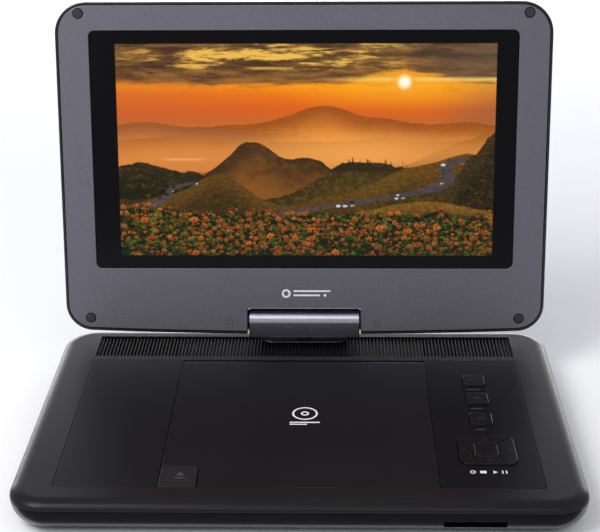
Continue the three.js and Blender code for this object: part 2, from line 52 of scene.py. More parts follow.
DISC_Y, WELL_R, WELL_FLOOR, WELL_TOP = -14.5, 62.5, 12.0, 17.9
HINGE_Y, HINGE_Z, BEAD_R = 53.9, 17.4, 2.6
TAB_X, TAB_Y = -50.9, -61.9
KEY_X, KEY_Y, KEY_W, KEY_D = 96.8, (31.7, 10.3, -12.8), 12.0, 12.6
PAD_Y, PAD_S, OK_W, OK_D, KEY_TOP = -45.6, 29.4, 11.5, 13.6, 20.6
PIV_Y, PIV_Z, TILT = 88.8, 31.5, 9.5
BARREL_W, BARREL_R, BARREL_BOTTOM = 66.0, 7.3, 22.3
LID_HW, LID_TOP, LID_BOT, LID_SAG = 141.8, 188.6, -7.0, 2.3
LID_FRONT, LID_BACK, RIM = 8.6, -5.4, 1.5
WIN_W, WIN_H, WIN_U0 = 245.4, 139.2, 33.4
NOTCH_HW, NOTCH_U = 33.8, 8.9
HW, HD = BASE_W / 2, BASE_D / 2

_lo, _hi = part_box("top_shell")
SY = (_lo.y + _hi.y) / 2 * 1000          # the base's middle, in the row frame
_B = math.radians(TILT)


def base_xf(p):
    p = np.asarray(p, float)
    q = p.copy()
    q[:, 1] += SY
    return q / 1000.0


def lid_xf(p):
    p = np.asarray(p, float)
    x, u, v = p[:, 0], p[:, 1], p[:, 2]
    return np.stack([x, PIV_Y + SY + u * math.sin(_B) - v * math.cos(_B),
                     PIV_Z + u * math.cos(_B) + v * math.sin(_B)], 1) / 1000.0


def chain(first, then):
    return lambda p: then(first(np.asarray(p, float)))


def yzx(p):                              # drawn in (y, z), run along x
    return p[:, [2, 0, 1]]


def xz_y(p):                             # drawn in (x, z), run along -y
    return np.stack([p[:, 0], -p[:, 2], p[:, 1]], 1)


# ------------------------------------------------------------------ outlines
def arc(cx, cy, r, a0, a1, n):
    return [(cx + r * math.cos(math.radians(a0 + (a1 - a0) * i / n)),
             cy + r * math.sin(math.radians(a0 + (a1 - a0) * i / n))) for i in range(n + 1)]


def rrect(x0, x1, y0, y1, r, n=8):
    bl, br, tr, tl = (r,) * 4 if not isinstance(r, tuple) else r
    return (arc(x0 + bl, y0 + bl, bl, 180, 270, n) + arc(x1 - br, y0 + br, br, 270, 360, n)
            + arc(x1 - tr, y1 - tr, tr, 0, 90, n) + arc(x0 + tl, y1 - tl, tl, 90, 180, n))


def circle(cx, cy, r, n=32):
    return [(cx + r * math.cos(2 * math.pi * i / n), cy + r * math.sin(2 * math.pi * i / n)) for i in range(n)]


def clean(pts, eps=1e-4):
    out = []
    for p in pts:
        if not out or math.hypot(p[0] - out[-1][0], p[1] - out[-1][1]) > eps:
            out.append((float(p[0]), float(p[1])))
    if math.hypot(out[0][0] - out[-1][0], out[0][1] - out[-1][1]) <= eps:
        out.pop()
    return out


def round_corners(pts, r, n=4):
    """Each corner of a plain polygon replaced by an arc of radius r, or less where an edge is short."""
    out, m = [], len(pts)
    for i in range(m):
        p, a, b = np.array(pts[i]), np.array(pts[i - 1]), np.array(pts[(i + 1) % m])
        u, w = (a - p), (b - p)
        lu, lw = np.linalg.norm(u), np.linalg.norm(w)
        u, w = u / lu, w / lw
        ang = math.acos(max(-1, min(1, float(u @ w))))
        if ang > math.radians(172):
            out.append(tuple(p))
            continue
        d = min(r / math.tan(ang / 2), lu * 0.45, lw * 0.45)
        for k in range(n + 1):
            t = k / n
            q = (p + u * d) * (1 - t) ** 2 + 2 * p * t * (1 - t) + (p + w * d) * t * t
            out.append(tuple(q))
    return clean(out)


def inset_dirs(pts):
    p = np.array(pts, float)
    e = np.roll(p, -1, 0) - p
    e /= np.linalg.norm(e, axis=1, keepdims=True)
    n = np.stack([e[:, 1], -e[:, 0]], 1)           # outward for a counter-clockwise outline
    n0 = np.roll(n, 1, 0)
    d = n + n0
    k = 1 + (n * n0).sum(1)
    k = np.maximum(k, 0.25)
    miter = d / k[:, None]
    unit = d / np.maximum(np.linalg.norm(d, axis=1, keepdims=True), 1e-9)
    return p, miter, unit


# ------------------------------------------------------------------ meshes
class Mesh:
    """Vertices in mm, faces, and a normal for each vertex where it is known."""

    def __init__(self):
        self.v, self.f, self.n, self.has_n = [], [], [], True

    def add(self, verts, faces, normals=None):
        o = len(self.v)
        self.v += [tuple(map(float, q)) for q in verts]
        self.f += [tuple(i + o for i in q) for q in faces]
        if normals is None:
            self.has_n = False
            self.n += [(0, 0, 1)] * len(verts)
        else:
            self.n += [tuple(map(float, q)) for q in normals]
        return self

    def join(self, other, xf=None):
        v = other.v if xf is None else xf(np.array(other.v, float))
        n = other.n if xf is None else xf(np.array(other.n, float)) - xf(np.zeros((len(other.n), 3)))
        self.add(v, other.f, n if other.has_n else None)
        return self


def bevel_steps(b, seg):
    return [(b * (1 - math.cos(math.pi / 2 * k / seg)), b * (1 - math.sin(math.pi / 2 * k / seg)), math.pi / 2 * k / seg)
            for k in range(seg + 1)]


def slab(outer, holes, z0, z1, top=0.3, bottom=0.15, seg=3, hole_top=None, crown=0.0):
    """A plate with rounded upper and lower edges, round its outside and round each hole."""
    m = Mesh()
    loops = [(clean(outer), 1, top)] + [(clean(h), -1, top if hole_top is None else hole_top) for h in holes]
    tops, bots = [], []
    for pts, sign, tb in loops:
        p, miter, unit = inset_dirs(pts)
        rows = []
        for inset, drop, a in reversed(bevel_steps(bottom, seg)):      # from the lower face up
            rows.append((inset, z0 + drop, -math.sin(a), math.cos(a)))
        for inset, drop, a in bevel_steps(tb, seg):
            rows.append((inset, z1 - drop, math.sin(a), math.cos(a)))
        n = len(pts)
        verts, norms, faces = [], [], []
        for inset, z, nz, nr in rows:
            q = p - miter * inset * sign
            verts += [(a, b, z) for a, b in q]
            norms += [(u[0] * nr * sign, u[1] * nr * sign, nz) for u in unit]
        for r in range(len(rows) - 1):
            for i in range(n):
                j = (i + 1) % n
                a, b, c, d = r * n + i, r * n + j, (r + 1) * n + j, (r + 1) * n + i
                faces.append((a, b, c, d) if sign > 0 else (d, c, b, a))
        o = len(m.v)
        m.add(verts, faces, norms)
        bots.append([o + i for i in range(n)])
        tops.append([o + (len(rows) - 1) * n + i for i in range(n)])
    for rings, up in ((tops, True), (bots, False)):
        polys = [[Vector((m.v[i][0], m.v[i][1], 0)) for i in ring] for ring in rings]
        flat = [i for ring in rings for i in ring]
        for t in tessellate_polygon(polys):
            a, b, c = (flat[i] for i in t)
            va, vb, vc = m.v[a], m.v[b], m.v[c]
            area = (vb[0] - va[0]) * (vc[1] - va[1]) - (vb[1] - va[1]) * (vc[0] - va[0])
            if abs(area) < 1e-9:
                pass
            m.f.append((a, b, c) if (area > 0) == up else (a, c, b))
    return m


def loft(rings, cap0=True, cap1=True):
    """Rings of 3-D points, all with one count, counter-clockwise seen from the end they run to."""
    m = Mesh()
    n = len(rings[0])
    verts = [q for r in rings for q in r]
    faces = []
    for r in range(len(rings) - 1):
        for i in range(n):
            j = (i + 1) % n
            faces.append((r * n + i, r * n + j, (r + 1) * n + j, (r + 1) * n + i))
    if cap0:
        faces.append(tuple(reversed(range(n))))
    if cap1:
        faces.append(tuple(range((len(rings) - 1) * n, len(rings) * n)))
    return m.add(verts, faces)


def lathe(profile, n=48, cx=0.0, cy=0.0):
    """profile: (radius, z) from bottom axis to top axis."""
    rings = []
    for r, z in profile:
        rr = max(r, 1e-3)
        rings.append([(cx + rr * math.cos(2 * math.pi * i / n), cy + rr * math.sin(2 * math.pi * i / n), z) for i in range(n)])
    return loft(rings)


def block(x0, x1, y0, y1, z0, z1, b=0.25, seg=2, r=0.6):
    return slab(rrect(x0, x1, y0, y1, r, 3), [], z0, z1, top=b, bottom=b, seg=seg)


def raw_object(name, m, xf=None):
    me = bpy.data.meshes.new(name)
    v = np.array(m.v, float) if xf is None else xf(np.array(m.v, float))
    me.from_pydata([tuple(q) for q in v], [], m.f)
    me.validate(clean_customdata=False)
    ob = bpy.data.objects.new(name, me)
    bpy.context.scene.collection.objects.link(ob)
    return ob


def settle(ob):
    """Modifiers made real."""
    bpy.context.view_layer.update()
    dg = bpy.context.evaluated_depsgraph_get()
    me = bpy.data.meshes.new_from_object(ob.evaluated_get(dg), preserve_all_data_layers=True, depsgraph=dg)
    ob.modifiers.clear()
    old = ob.data
    ob.data = me
    bpy.data.meshes.remove(old)
    return ob


def cut(ob, cutters, op="DIFFERENCE"):
    """Booleans in mm."""
    cs = []
    for c in cutters:
        co = raw_object("cutter", c) if isinstance(c, Mesh) else c
        cs.append(co)
        md = ob.modifiers.new("b", "BOOLEAN")
        md.operation, md.solver, md.object = op, "EXACT", co
    settle(ob)
    for co in cs:
        me = co.data
        bpy.data.objects.remove(co)
        bpy.data.meshes.remove(me)
    return ob


def soften(ob, width, seg=2, angle=35):
    md = ob.modifiers.new("bev", "BEVEL")
    md.width, md.segments, md.limit_method, md.angle_limit = width, seg, "ANGLE", math.radians(angle)
    md.use_clamp_overlap, md.miter_outer, md.harden_normals = True, "MITER_ARC", False
    return settle(ob)


def finish_piece(ob, mat, body, stands_for=(), sharp=32.0, weighted=True):
    me = ob.data
    if mat is not None:
        me.materials.clear()
        me.materials.append(mat)
    if len(me.polygons):
        me.polygons.foreach_set("use_smooth", [True] * len(me.polygons))
    if sharp is not None:
        me.set_sharp_from_angle(angle=math.radians(sharp))
        if weighted:
            md = ob.modifiers.new("wn", "WEIGHTED_NORMAL")
            md.keep_sharp, md.weight = True, 60
            settle(ob)
    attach(ob, body)
    if stands_for:
        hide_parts(*stands_for)
    return ob


def to_world(ob, xf):
    me = ob.data
    co = np.zeros(len(me.vertices) * 3)
    me.vertices.foreach_get("co", co)
    me.vertices.foreach_set("co", xf(co.reshape(-1, 3)).ravel())
    me.update()
    return ob


def piece(name, m, xf, mat, body, stands_for=(), sharp=32.0, uv=None):
    """A finished piece from a Mesh, with exact normals where the Mesh has them."""
    ob = raw_object(name, m, xf)
    me = ob.data
    if uv is not None:
        layer = me.uv_layers.new(name="UVMap")
        for lp in me.loops:
            p = m.v[lp.vertex_index]
            layer.data[lp.index].uv = uv(p)
    if m.has_n and len(me.vertices) == len(m.v):
        me.materials.append(mat)
        me.polygons.foreach_set("use_smooth", [True] * len(me.polygons))
        z = np.zeros((1, 3))
        nn = (xf(np.array(m.n, float)) - xf(z)) * 1000.0
        nn /= np.maximum(np.linalg.norm(nn, axis=1, keepdims=True), 1e-9)
        me.normals_split_custom_set_from_vertices([tuple(q) for q in nn])
        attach(ob, body)
        if stands_for:
            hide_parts(*stands_for)
        return ob
    return finish_piece(ob, mat, body, stands_for, sharp)


# ------------------------------------------------------------------ colours and node trees
def lin(r, g, b):
    f = lambda c: (c / 255 / 12.92) if c / 255 <= 0.04045 else ((c / 255 + 0.055) / 1.055) ** 2.4
    return (f(r), f(g), f(b), 1.0)


class Tree:
    def __init__(self, name):
        self.m = bpy.data.materials.new(name)
        self.m.use_nodes = True
        self.nt = self.m.node_tree
        self.nt.nodes.clear()
        self.out = self.nt.nodes.new("ShaderNodeOutputMaterial")

    def new(self, kind, **props):
        n = self.nt.nodes.new("ShaderNode" + kind)
        for k, v in props.items():
            setattr(n, k, v)
        return n

    def put(self, a, sock):
        if isinstance(a, V):
            self.nt.links.new(a.s, sock)
        elif isinstance(a, bpy.types.NodeSocket):
            self.nt.links.new(a, sock)
        else:
            sock.default_value = a

    def math(self, op, a, b=None, c=None, clamp=False):
        n = self.new("Math", operation=op, use_clamp=clamp)
        for i, q in enumerate((a, b, c)):
            if q is not None:
                self.put(q, n.inputs[i])
        return V(self, n.outputs[0])

    def vec(self, x=0.0, y=0.0, z=0.0):
        n = self.new("CombineXYZ")
        for i, q in enumerate((x, y, z)):
            self.put(q, n.inputs[i])
        return V(self, n.outputs[0])

    def split(self, v):
        n = self.new("SeparateXYZ")
        self.put(v, n.inputs[0])
        return [V(self, n.outputs[i]) for i in range(3)]

    def rgb(self, v):
        n = self.new("SeparateColor")
        self.put(v, n.inputs[0])
        return [V(self, n.outputs[i]) for i in range(3)]

    def coords(self, kind="Object"):
        n = self.new("TexCoord")
        return V(self, n.outputs[kind])

    def noise(self, vec, scale, detail=2.0, rough=0.5, dist=0.0, colour=False):
        n = self.new("TexNoise")
        self.put(vec, n.inputs["Vector"])
        n.inputs["Scale"].default_value = scale
        n.inputs["Detail"].default_value = detail
        n.inputs["Roughness"].default_value = rough
        n.inputs["Distortion"].default_value = dist
        return V(self, n.outputs["Color" if colour else "Fac"])

    def voronoi(self, vec, scale, out="Distance", feature="F1", rand=1.0):
        n = self.new("TexVoronoi", feature=feature)
        self.put(vec, n.inputs["Vector"])
        n.inputs["Scale"].default_value = scale
        n.inputs["Randomness"].default_value = rand
        return V(self, n.outputs[out])

    def scaled(self, vec, sx, sy, sz):
        n = self.new("Mapping")
        self.put(vec, n.inputs["Vector"])
        n.inputs["Scale"].default_value = (sx, sy, sz)
        return V(self, n.outputs[0])

    def ramp(self, fac, stops, interp="LINEAR"):
        n = self.new("ValToRGB")
        n.color_ramp.interpolation = interp
        el = n.color_ramp.elements
        while len(el) > 1:
            el.remove(el[-1])
        el[0].position, el[0].color = stops[0]
        for pos, col in stops[1:]:
            e = el.new(pos)
            e.color = col
        self.put(fac, n.inputs[0])
        return V(self, n.outputs[0])

    def smooth(self, x, a, b, lo=0.0, hi=1.0):
        n = self.new("MapRange", interpolation_type="SMOOTHSTEP")
        for i, q in enumerate((x, a, b, lo, hi)):
            self.put(q, n.inputs[i])
        return V(self, n.outputs[0])

    def remap(self, x, a, b, lo, hi):
        n = self.new("MapRange")
        for i, q in enumerate((x, a, b, lo, hi)):
            self.put(q, n.inputs[i])
        return V(self, n.outputs[0])

    def mix(self, f, a, b, blend="MIX"):
        n = self.new("Mix", data_type="RGBA", blend_type=blend)
        self.put(f, n.inputs[0])
        self.put(a, n.inputs[6])
        self.put(b, n.inputs[7])
        return V(self, n.outputs[2])

    def bump(self, height, strength, distance, normal=None):
        n = self.new("Bump")
        n.inputs["Strength"].default_value = strength
        n.inputs["Distance"].default_value = distance
        self.put(height, n.inputs["Height"])
        if normal is not None:
            self.put(normal, n.inputs["Normal"])
        return V(self, n.outputs[0])

    def principled(self, **inp):
        p = self.new("BsdfPrincipled")
        for k, v in inp.items():
            self.put(v, p.inputs[k.replace("_", " ")])
        self.nt.links.new(p.outputs[0], self.out.inputs[0])
        return p


class V:
    """A node output that does arithmetic."""

    def __init__(self, t, s):
        self.t, self.s = t, s

    def __add__(self, o): return self.t.math("ADD", self, o)
    def __radd__(self, o): return self.t.math("ADD", o, self)
    def __sub__(self, o): return self.t.math("SUBTRACT", self, o)
    def __rsub__(self, o): return self.t.math("SUBTRACT", o, self)
    def __mul__(self, o): return self.t.math("MULTIPLY", self, o)
    def __rmul__(self, o): return self.t.math("MULTIPLY", o, self)
    def __truediv__(self, o): return self.t.math("DIVIDE", self, o)
    def __rtruediv__(self, o): return self.t.math("DIVIDE", o, self)
    def __neg__(self): return self.t.math("MULTIPLY", self, -1.0)
    def min(self, o): return self.t.math("MINIMUM", self, o)
    def max(self, o): return self.t.math("MAXIMUM", self, o)
    def clamp(self): return self.t.math("ADD", self, 0.0, clamp=True)
    def pow(self, o): return self.t.math("POWER", self, o)


def shade(c, k):
    return (c[0] * k, c[1] * k, c[2] * k, 1.0)


def plastic(name, colour, rough=0.4, grain=2600.0, grain_h=0.3, bump=2e-5, vary=0.12, smudge=0.05,
            spec=0.5, coat=0.0, coat_rough=0.1, metal=0.0, blotch=22.0, speck=0.0):
    """Moulded or painted plastic: colour drifts slowly, with a fine moulded grain and faint handling marks."""
    t = Tree(name)
    c = t.coords()
    slow = t.noise(c, blotch, 3.0, 0.6)
    fine = t.noise(c, grain, 2.0, 0.6)
    mid = t.noise(c, 160.0, 4.0, 0.65)
    f = (slow * 0.7 + fine * 0.3)
    col = t.mix(f, shade(colour, 1 - vary), shade(colour, 1 + vary))
    if speck:
        dots = t.smooth(t.noise(c, grain * 0.8, 1.0, 0.5), 0.58, 0.72)
        col = t.mix(dots * speck, col, shade(colour, 2.4))
    r = t.remap(mid * 0.6 + slow * 0.4, 0.3, 0.7, rough - smudge, rough + smudge)
    p = t.principled(Base_Color=col, Roughness=r, Normal=t.bump(fine, grain_h, bump))
    p.inputs["Specular IOR Level"].default_value = spec
    p.inputs["Metallic"].default_value = metal
    p.inputs["Coat Weight"].default_value = coat
    p.inputs["Coat Roughness"].default_value = coat_rough
    return t.m


def edge_gloss(mat, low, high, start=0.25, end=0.75):
    """More specular towards grazing, for smooth moulded rims."""
    nt = mat.node_tree
    lw = nt.nodes.new("ShaderNodeLayerWeight")
    lw.inputs["Blend"].default_value = 0.5
    r = nt.nodes.new("ShaderNodeMapRange")
    r.interpolation_type = "SMOOTHSTEP"
    for i, q in enumerate((start, end, low, high)):
        r.inputs[i + 1].default_value = q
    nt.links.new(lw.outputs["Facing"], r.inputs[0])
    p = next(n for n in nt.nodes if n.type == "BSDF_PRINCIPLED")
    nt.links.new(r.outputs[0], p.inputs["Specular IOR Level"])
    return mat


def steel(name, colour, rough=0.3, direction=(1, 1, 1), scale=900.0, bump=1e-5):
    """Plated or brushed metal: stretched scratches that move colour, roughness and surface together."""
    t = Tree(name)
    c = t.coords()
    s = t.noise(t.scaled(c, *direction), scale, 4.0, 0.6)
    blot = t.noise(c, 60.0, 3.0, 0.6)
    col = t.mix(s * 0.6 + blot * 0.4, shade(colour, 0.82), shade(colour, 1.12))
    r = t.remap(s * 0.5 + blot * 0.5, 0.3, 0.7, rough - 0.07, rough + 0.09)
    p = t.principled(Base_Color=col, Roughness=r, Normal=t.bump(s, 0.35, bump))
    p.inputs["Metallic"].default_value = 1.0
    return t.m


def hairline(name, colour, rough, pitch_mm=0.55, strength=0.35, spec=0.5, coat=0.0):
    """Glossy film with a fine line pattern running left to right."""
    t = Tree(name)
    c = t.coords()
    lines = t.noise(t.scaled(c, 0.012, 1.0, 0.3), 1000.0 / pitch_mm, 2.0, 0.7)
    slow = t.noise(c, 18.0, 3.0, 0.6)
    fine = t.noise(c, 2400.0, 2.0, 0.6)
    col = t.mix(lines * 0.6 + slow * 0.4, shade(colour, 0.72), shade(colour, 1.3))
    r = t.remap(slow * 0.5 + lines * 0.5, 0.3, 0.7, rough - 0.05, rough + 0.07)
    p = t.principled(Base_Color=col, Roughness=r, Normal=t.bump(lines * 0.85 + fine * 0.15, strength, 3e-5))
    p.inputs["Specular IOR Level"].default_value = spec
    p.inputs["Coat Weight"].default_value = coat
    p.inputs["Coat Roughness"].default_value = 0.12
    return t.m


def board_material(name):
    t = Tree(name)
    c = t.coords()
    cells = t.voronoi(t.scaled(c, 1, 1, 1), 320.0, "Distance", "DISTANCE_TO_EDGE", 0.3)
    tracks = t.smooth(cells, 0.03, 0.06)
    slow = t.noise(c, 40.0, 3.0, 0.6)
    green = t.mix(slow, (0.01, 0.07, 0.028, 1), (0.02, 0.14, 0.05, 1))
    col = t.mix(tracks, (0.05, 0.2, 0.08, 1), green)
    r = t.remap(slow, 0.3, 0.7, 0.25, 0.4)
    t.principled(Base_Color=col, Roughness=r, Normal=t.bump(tracks, 0.4, 4e-5))
    return t.m


M = {}
M["border"] = plastic("satin_charcoal_deck", (0.0084, 0.0079, 0.0104, 1), 0.32, 2400.0, 0.2, 1.0e-5, 0.1, 0.04, spec=0.2)
M["deck"] = hairline("black_film_disc_lid", (0.0092, 0.0088, 0.0118, 1), 0.36, 0.5, 0.3, spec=0.08)
M["deck_left"] = hairline("black_film_line_texture", (0.0082, 0.0079, 0.0102, 1), 0.38, 0.8, 0.6, spec=0.09)
M["deck_right"] = hairline("black_film_keypad", (0.0062, 0.0059, 0.0084, 1), 0.36, 0.5, 0.3, spec=0.07)
M["grille"] = plastic("satin_black_grille", (0.0030, 0.0028, 0.0038, 1), 0.42, 3000.0, 0.2, 1e-5, 0.15, 0.05, spec=0.05)
M["case"] = plastic("moulded_black_case", (0.0050, 0.0049, 0.0062, 1), 0.19, 1900.0, 0.3, 1.6e-5, 0.15, 0.05, spec=0.1)
M["key"] = plastic("satin_black_key", (0.0050, 0.0048, 0.0068, 1), 0.28, 2800.0, 0.15, 1e-5, 0.1, 0.05, spec=0.22)
M["tab"] = plastic("satin_grey_key", (0.0150, 0.0150, 0.0190, 1), 0.36, 2800.0, 0.15, 1e-5, 0.1, 0.05, spec=0.14)
M["well"] = plastic("matt_black_bay", (0.018, 0.018, 0.019, 1), 0.55, 1600.0, 0.5, 4e-5, 0.18, 0.06)
M["rubber"] = plastic("black_rubber", (0.016, 0.016, 0.017, 1), 0.8, 1400.0, 0.5, 5e-5, 0.2, 0.08, spec=0.3)
M["plug"] = plastic("screw_plug_rubber", (0.022, 0.0215, 0.026, 1), 0.62, 2000.0, 0.35, 3e-5, 0.12, 0.05, spec=0.35)
M["steel"] = steel("plated_steel", (0.62, 0.62, 0.64, 1), 0.28, (1, 0.06, 1))
M["alu"] = steel("satin_aluminium", (0.55, 0.55, 0.57, 1), 0.4, (0.05, 1, 1))
M["wrap"] = plastic("battery_wrap", (0.03, 0.045, 0.10, 1), 0.3, 900.0, 0.2, 4e-5, 0.2, 0.06, coat=0.4)
M["pcb"] = board_material("green_board")
M["cone"] = plastic("paper_cone", (0.035, 0.034, 0.033, 1), 0.85, 1300.0, 0.8, 8e-5, 0.25, 0.05, spec=0.2)
M["acetal"] = plastic("natural_acetal", (0.58, 0.58, 0.55, 1), 0.42, 1500.0, 0.2, 2e-5, 0.05, 0.06)
M["hinge_black"] = plastic("satin_black_seat", (0.0035, 0.0034, 0.0042, 1), 0.2, 2400.0, 0.2, 1e-5, 0.12, 0.05)
M["barrel"] = plastic("satin_grey_hinge_cover", (0.480, 0.462, 0.550, 1), 0.25, 2600.0, 0.18, 1e-5, 0.05, 0.03, metal=0.95)
M["back"] = plastic("satin_black_screen_back", (0.0050, 0.0049, 0.0062, 1), 0.28, 2200.0, 0.16, 0.5e-5, 0.10, 0.02)
M["bezel"] = plastic("metallic_charcoal_bezel", (0.136, 0.130, 0.158, 1), 0.42, 2900.0, 0.7, 3.2e-5, 0.16, 0.04, metal=0.55, speck=0.35, blotch=9.0)
M["brass"] = steel("socket_contact", (0.75, 0.6, 0.32, 1), 0.25, (1, 1, 1))
M["ink"] = plastic("white_print", (0.78, 0.78, 0.80, 1), 0.5, 2600.0, 0.2, 1e-5, 0.05, 0.05)
M["ink_dim"] = plastic("grey_print", (0.045, 0.045, 0.055, 1), 0.5, 2600.0, 0.2, 1e-5, 0.06, 0.05)
M["ink_dark"] = plastic("dark_print", (0.0012, 0.0012, 0.0016, 1), 0.6, 2600.0, 0.2, 1e-5, 0.06, 0.05)


# ------------------------------------------------------------------ the lit picture
def picture_material():
    """A made-up sunset over hazy hills with a meadow in front, lit from behind black-masked glass."""
    t = Tree("screen_glass_lit_picture")
    uv = t.new("UVMap")
    uv.uv_map = "UVMap"
    U, Y, _ = t.split(V(t, uv.outputs[0]))                # 0..1 over the lit area, outside it on the mask
    inside = (t.smooth(U, -0.0012, 0.0012) * t.smooth(U, 1.0012, 0.9988)
              * t.smooth(Y, -0.002, 0.002) * t.smooth(Y, 1.002, 0.998))
    X = U * 1.77

    def P(sx, sy, ox=0.0):
        n = t.new("Mapping")
        t.put(uv.outputs[0], n.inputs["Vector"])
        n.inputs["Location"].default_value = (ox, 0.0, ox)
        n.inputs["Scale"].default_value = (sx * 1.77, sy, 0.0)
        return V(t, n.outputs[0])

    def wave(w, detail, rough):             # noise along one line
        n = t.new("TexNoise", noise_dimensions="1D")
        t.put(w, n.inputs["W"])
        n.inputs["Scale"].default_value = 1.0
        n.inputs["Detail"].default_value = detail
        n.inputs["Roughness"].default_value = rough
        return V(t, n.outputs["Fac"])

    def bump_at(c, w, v=None):
        q = ((X if v is None else v) - c) / w
        return t.math("EXPONENT", -(q * q))

    # sky: an orange band under a lid of torn cloud
    sky = t.ramp(Y, [(0.44, lin(224, 150, 84)), (0.55, lin(214, 128, 60)), (0.64, lin(204, 102, 36)), (0.70, lin(222, 98, 22)),
                     (0.765, lin(240, 118, 8)), (0.805, lin(255, 150, 8)), (0.845, lin(206, 116, 28)), (0.90, lin(134, 92, 44)), (1.0, lin(104, 76, 42))])
    sky = t.mix(t.smooth(X, 0.95, 0.0) * 0.42, sky, lin(196, 98, 48))
    sky = t.mix(t.smooth(X, 1.40, 1.77) * 0.55, sky, lin(134, 96, 64))
    dx, dy = X - 1.345, (Y - 0.823)
    d = (dx * dx * 0.22 + dy * dy * 5.0).pow(0.5)
    r = (dx * dx + dy * dy).pow(0.5)
    sky = t.mix(t.smooth(d, 0.36, 0.0) * 0.80, sky, lin(255, 176, 30))
    c1 = t.noise(P(1.3, 8.0, 3.1), 1.8, 7.0, 0.62, 0.5)
    c2 = t.noise(P(2.6, 17.0, 8.2), 2.0, 6.0, 0.66, 0.3)
    veil = t.smooth(Y + (c1 - 0.5) * 0.16 - t.smooth(r, 0.34, 0.0) * 0.035 - t.smooth(X, 0.9, 1.3) * 0.012, 0.805, 0.832)
    deep = t.mix(t.smooth(c2, 0.34, 0.66), lin(58, 42, 26), lin(144, 102, 52))
    deep = t.mix(t.smooth(X, 1.2, 1.75) * 0.6, deep, lin(80, 68, 62))
    sky = t.mix(veil * 0.92, sky, deep)
    gaps = t.smooth(c1 * 0.45 + c2 * 0.55, 0.485, 0.58) * t.smooth(Y, 0.868, 0.90) * t.smooth(X, -0.1, 0.40) * t.smooth(X, 1.44, 1.15)
    sky = t.mix(gaps * 0.9, sky, lin(250, 196, 84))
    low = t.smooth(c2, 0.50, 0.66) * t.smooth(Y, 0.74, 0.80) * t.smooth(Y, 0.86, 0.83)
    sky = t.mix(low * 0.30, sky, lin(180, 92, 24))
    streak = t.smooth((dy - 0.012).pow(2.0).pow(0.5), 0.016, 0.0) * t.smooth(X, 0.9, 1.3)
    sky = t.mix(streak * 0.55, sky, lin(255, 226, 130))
    ang = t.math("ARCTAN2", dy, dx)
    star = t.math("SINE", ang * 9.0) * 0.5 + 0.5
    flare = t.smooth(r, 0.085, 0.012) * (star * 0.5 + 0.5)
    sky = t.mix(flare, sky, lin(255, 160, 50))
    sky = t.mix(t.smooth(r, 0.046, 0.016), sky, lin(255, 236, 150))
    sky = t.mix(t.smooth(r, 0.030, 0.012), sky, lin(255, 253, 236))
    img = sky

    def hills(img, base, bumps, wob, freq, seed, top, low, depth, fuzz=0.004, tex=None, keep=None):
        h = wave(X * freq + seed, 6.0, 0.6) * wob + (base - wob * 0.5)
        for c, w, a in bumps:
            h = h + bump_at(c, w) * a
        below = h - Y
        m = t.smooth(below, -fuzz, fuzz)
        if keep is not None:
            m = m * keep
        col = t.mix(t.smooth(below, 0.0, depth), top, low)
        if tex:
            k, s, amt, dk, lt = tex
            n = t.noise(P(k, k * 1.7, seed), s, 7.0, 0.72, 0.3)
            col = t.mix(t.smooth(n, 0.50, 0.66) * amt, col, lt)
            col = t.mix(t.smooth(n, 0.52, 0.36) * amt, col, dk)
        return t.mix(m, img, col)

    # far layers, each one lost in the haze below its crest
    img = hills(img, 0.615, [(1.00, 0.17, 0.085), (0.80, 0.20, 0.03), (1.28, 0.14, 0.03), (1.62, 0.14, 0.02)], 0.022, 5.0, 11.0,
                lin(160, 82, 22), lin(232, 138, 50), 0.16, 0.003, tex=(7.0, 2.0, 0.22, lin(146, 74, 20), lin(206, 112, 40)))
    img = hills(img, 0.585, [(0.12, 0.20, 0.055), (0.44, 0.14, 0.02)], 0.02, 5.0, 5.0,
                lin(158, 90, 44), lin(206, 122, 62), 0.11, 0.004, keep=t.smooth(X, 0.95, 0.5))
    img = hills(img, 0.545, [(0.30, 0.22, 0.03), (1.25, 0.10, 0.02)], 0.02, 6.0, 15.0,
                lin(176, 102, 42), lin(214, 130, 62), 0.10, 0.005)
    img = hills(img, 0.40, [(1.80, 0.32, 0.19), (1.50, 0.12, 0.02)], 0.02, 7.0, 25.0,
                lin(160, 96, 34), lin(206, 128, 54), 0.16, 0.005)
    mist = bump_at(1.12, 0.42) * t.smooth(Y, 0.38, 0.49) * t.smooth(Y, 0.63, 0.50)
    img = t.mix(mist * 0.75, img, lin(250, 176, 84))
    haze = t.smooth(Y, 0.40, 0.50) * t.smooth(Y, 0.60, 0.50)
    img = t.mix(haze * 0.35 * t.noise(P(2.0, 9.0, 2.0), 1.6, 4.0, 0.6) * 1.6, img, lin(238, 150, 66))
    glint = t.smooth((Y - 0.462).pow(2.0).pow(0.5), 0.010, 0.002) * t.smooth(X, 0.18, 0.26) * t.smooth(X, 0.44, 0.36)
    img = t.mix(glint * 0.6, img, lin(250, 176, 96))
    img = hills(img, 0.33, [(0.63, 0.17, 0.215), (0.92, 0.13, 0.125), (0.42, 0.10, 0.02)], 0.024, 9.0, 31.0,
                lin(66, 44, 18), lin(136, 82, 28), 0.24, 0.003, tex=(6.0, 2.4, 0.4, lin(54, 40, 16), lin(128, 84, 32)))
    img = hills(img, 0.35, [(0.10, 0.22, 0.095), (0.36, 0.06, 0.03)], 0.026, 14.0, 41.0,
                lin(48, 40, 14), lin(28, 28, 8), 0.13, 0.003, tex=(10.0, 2.6, 0.55, lin(24, 25, 9), lin(94, 76, 26)), keep=t.smooth(X, 0.62, 0.46))
    img = hills(img, 0.27, [(1.08, 0.20, 0.165), (1.42, 0.22, 0.135), (1.25, 0.06, 0.02)], 0.022, 22.0, 51.0,
                lin(58, 46, 12), lin(78, 60, 14), 0.12, 0.003, tex=(12.0, 2.6, 0.5, lin(40, 38, 12), lin(126, 96, 30)))
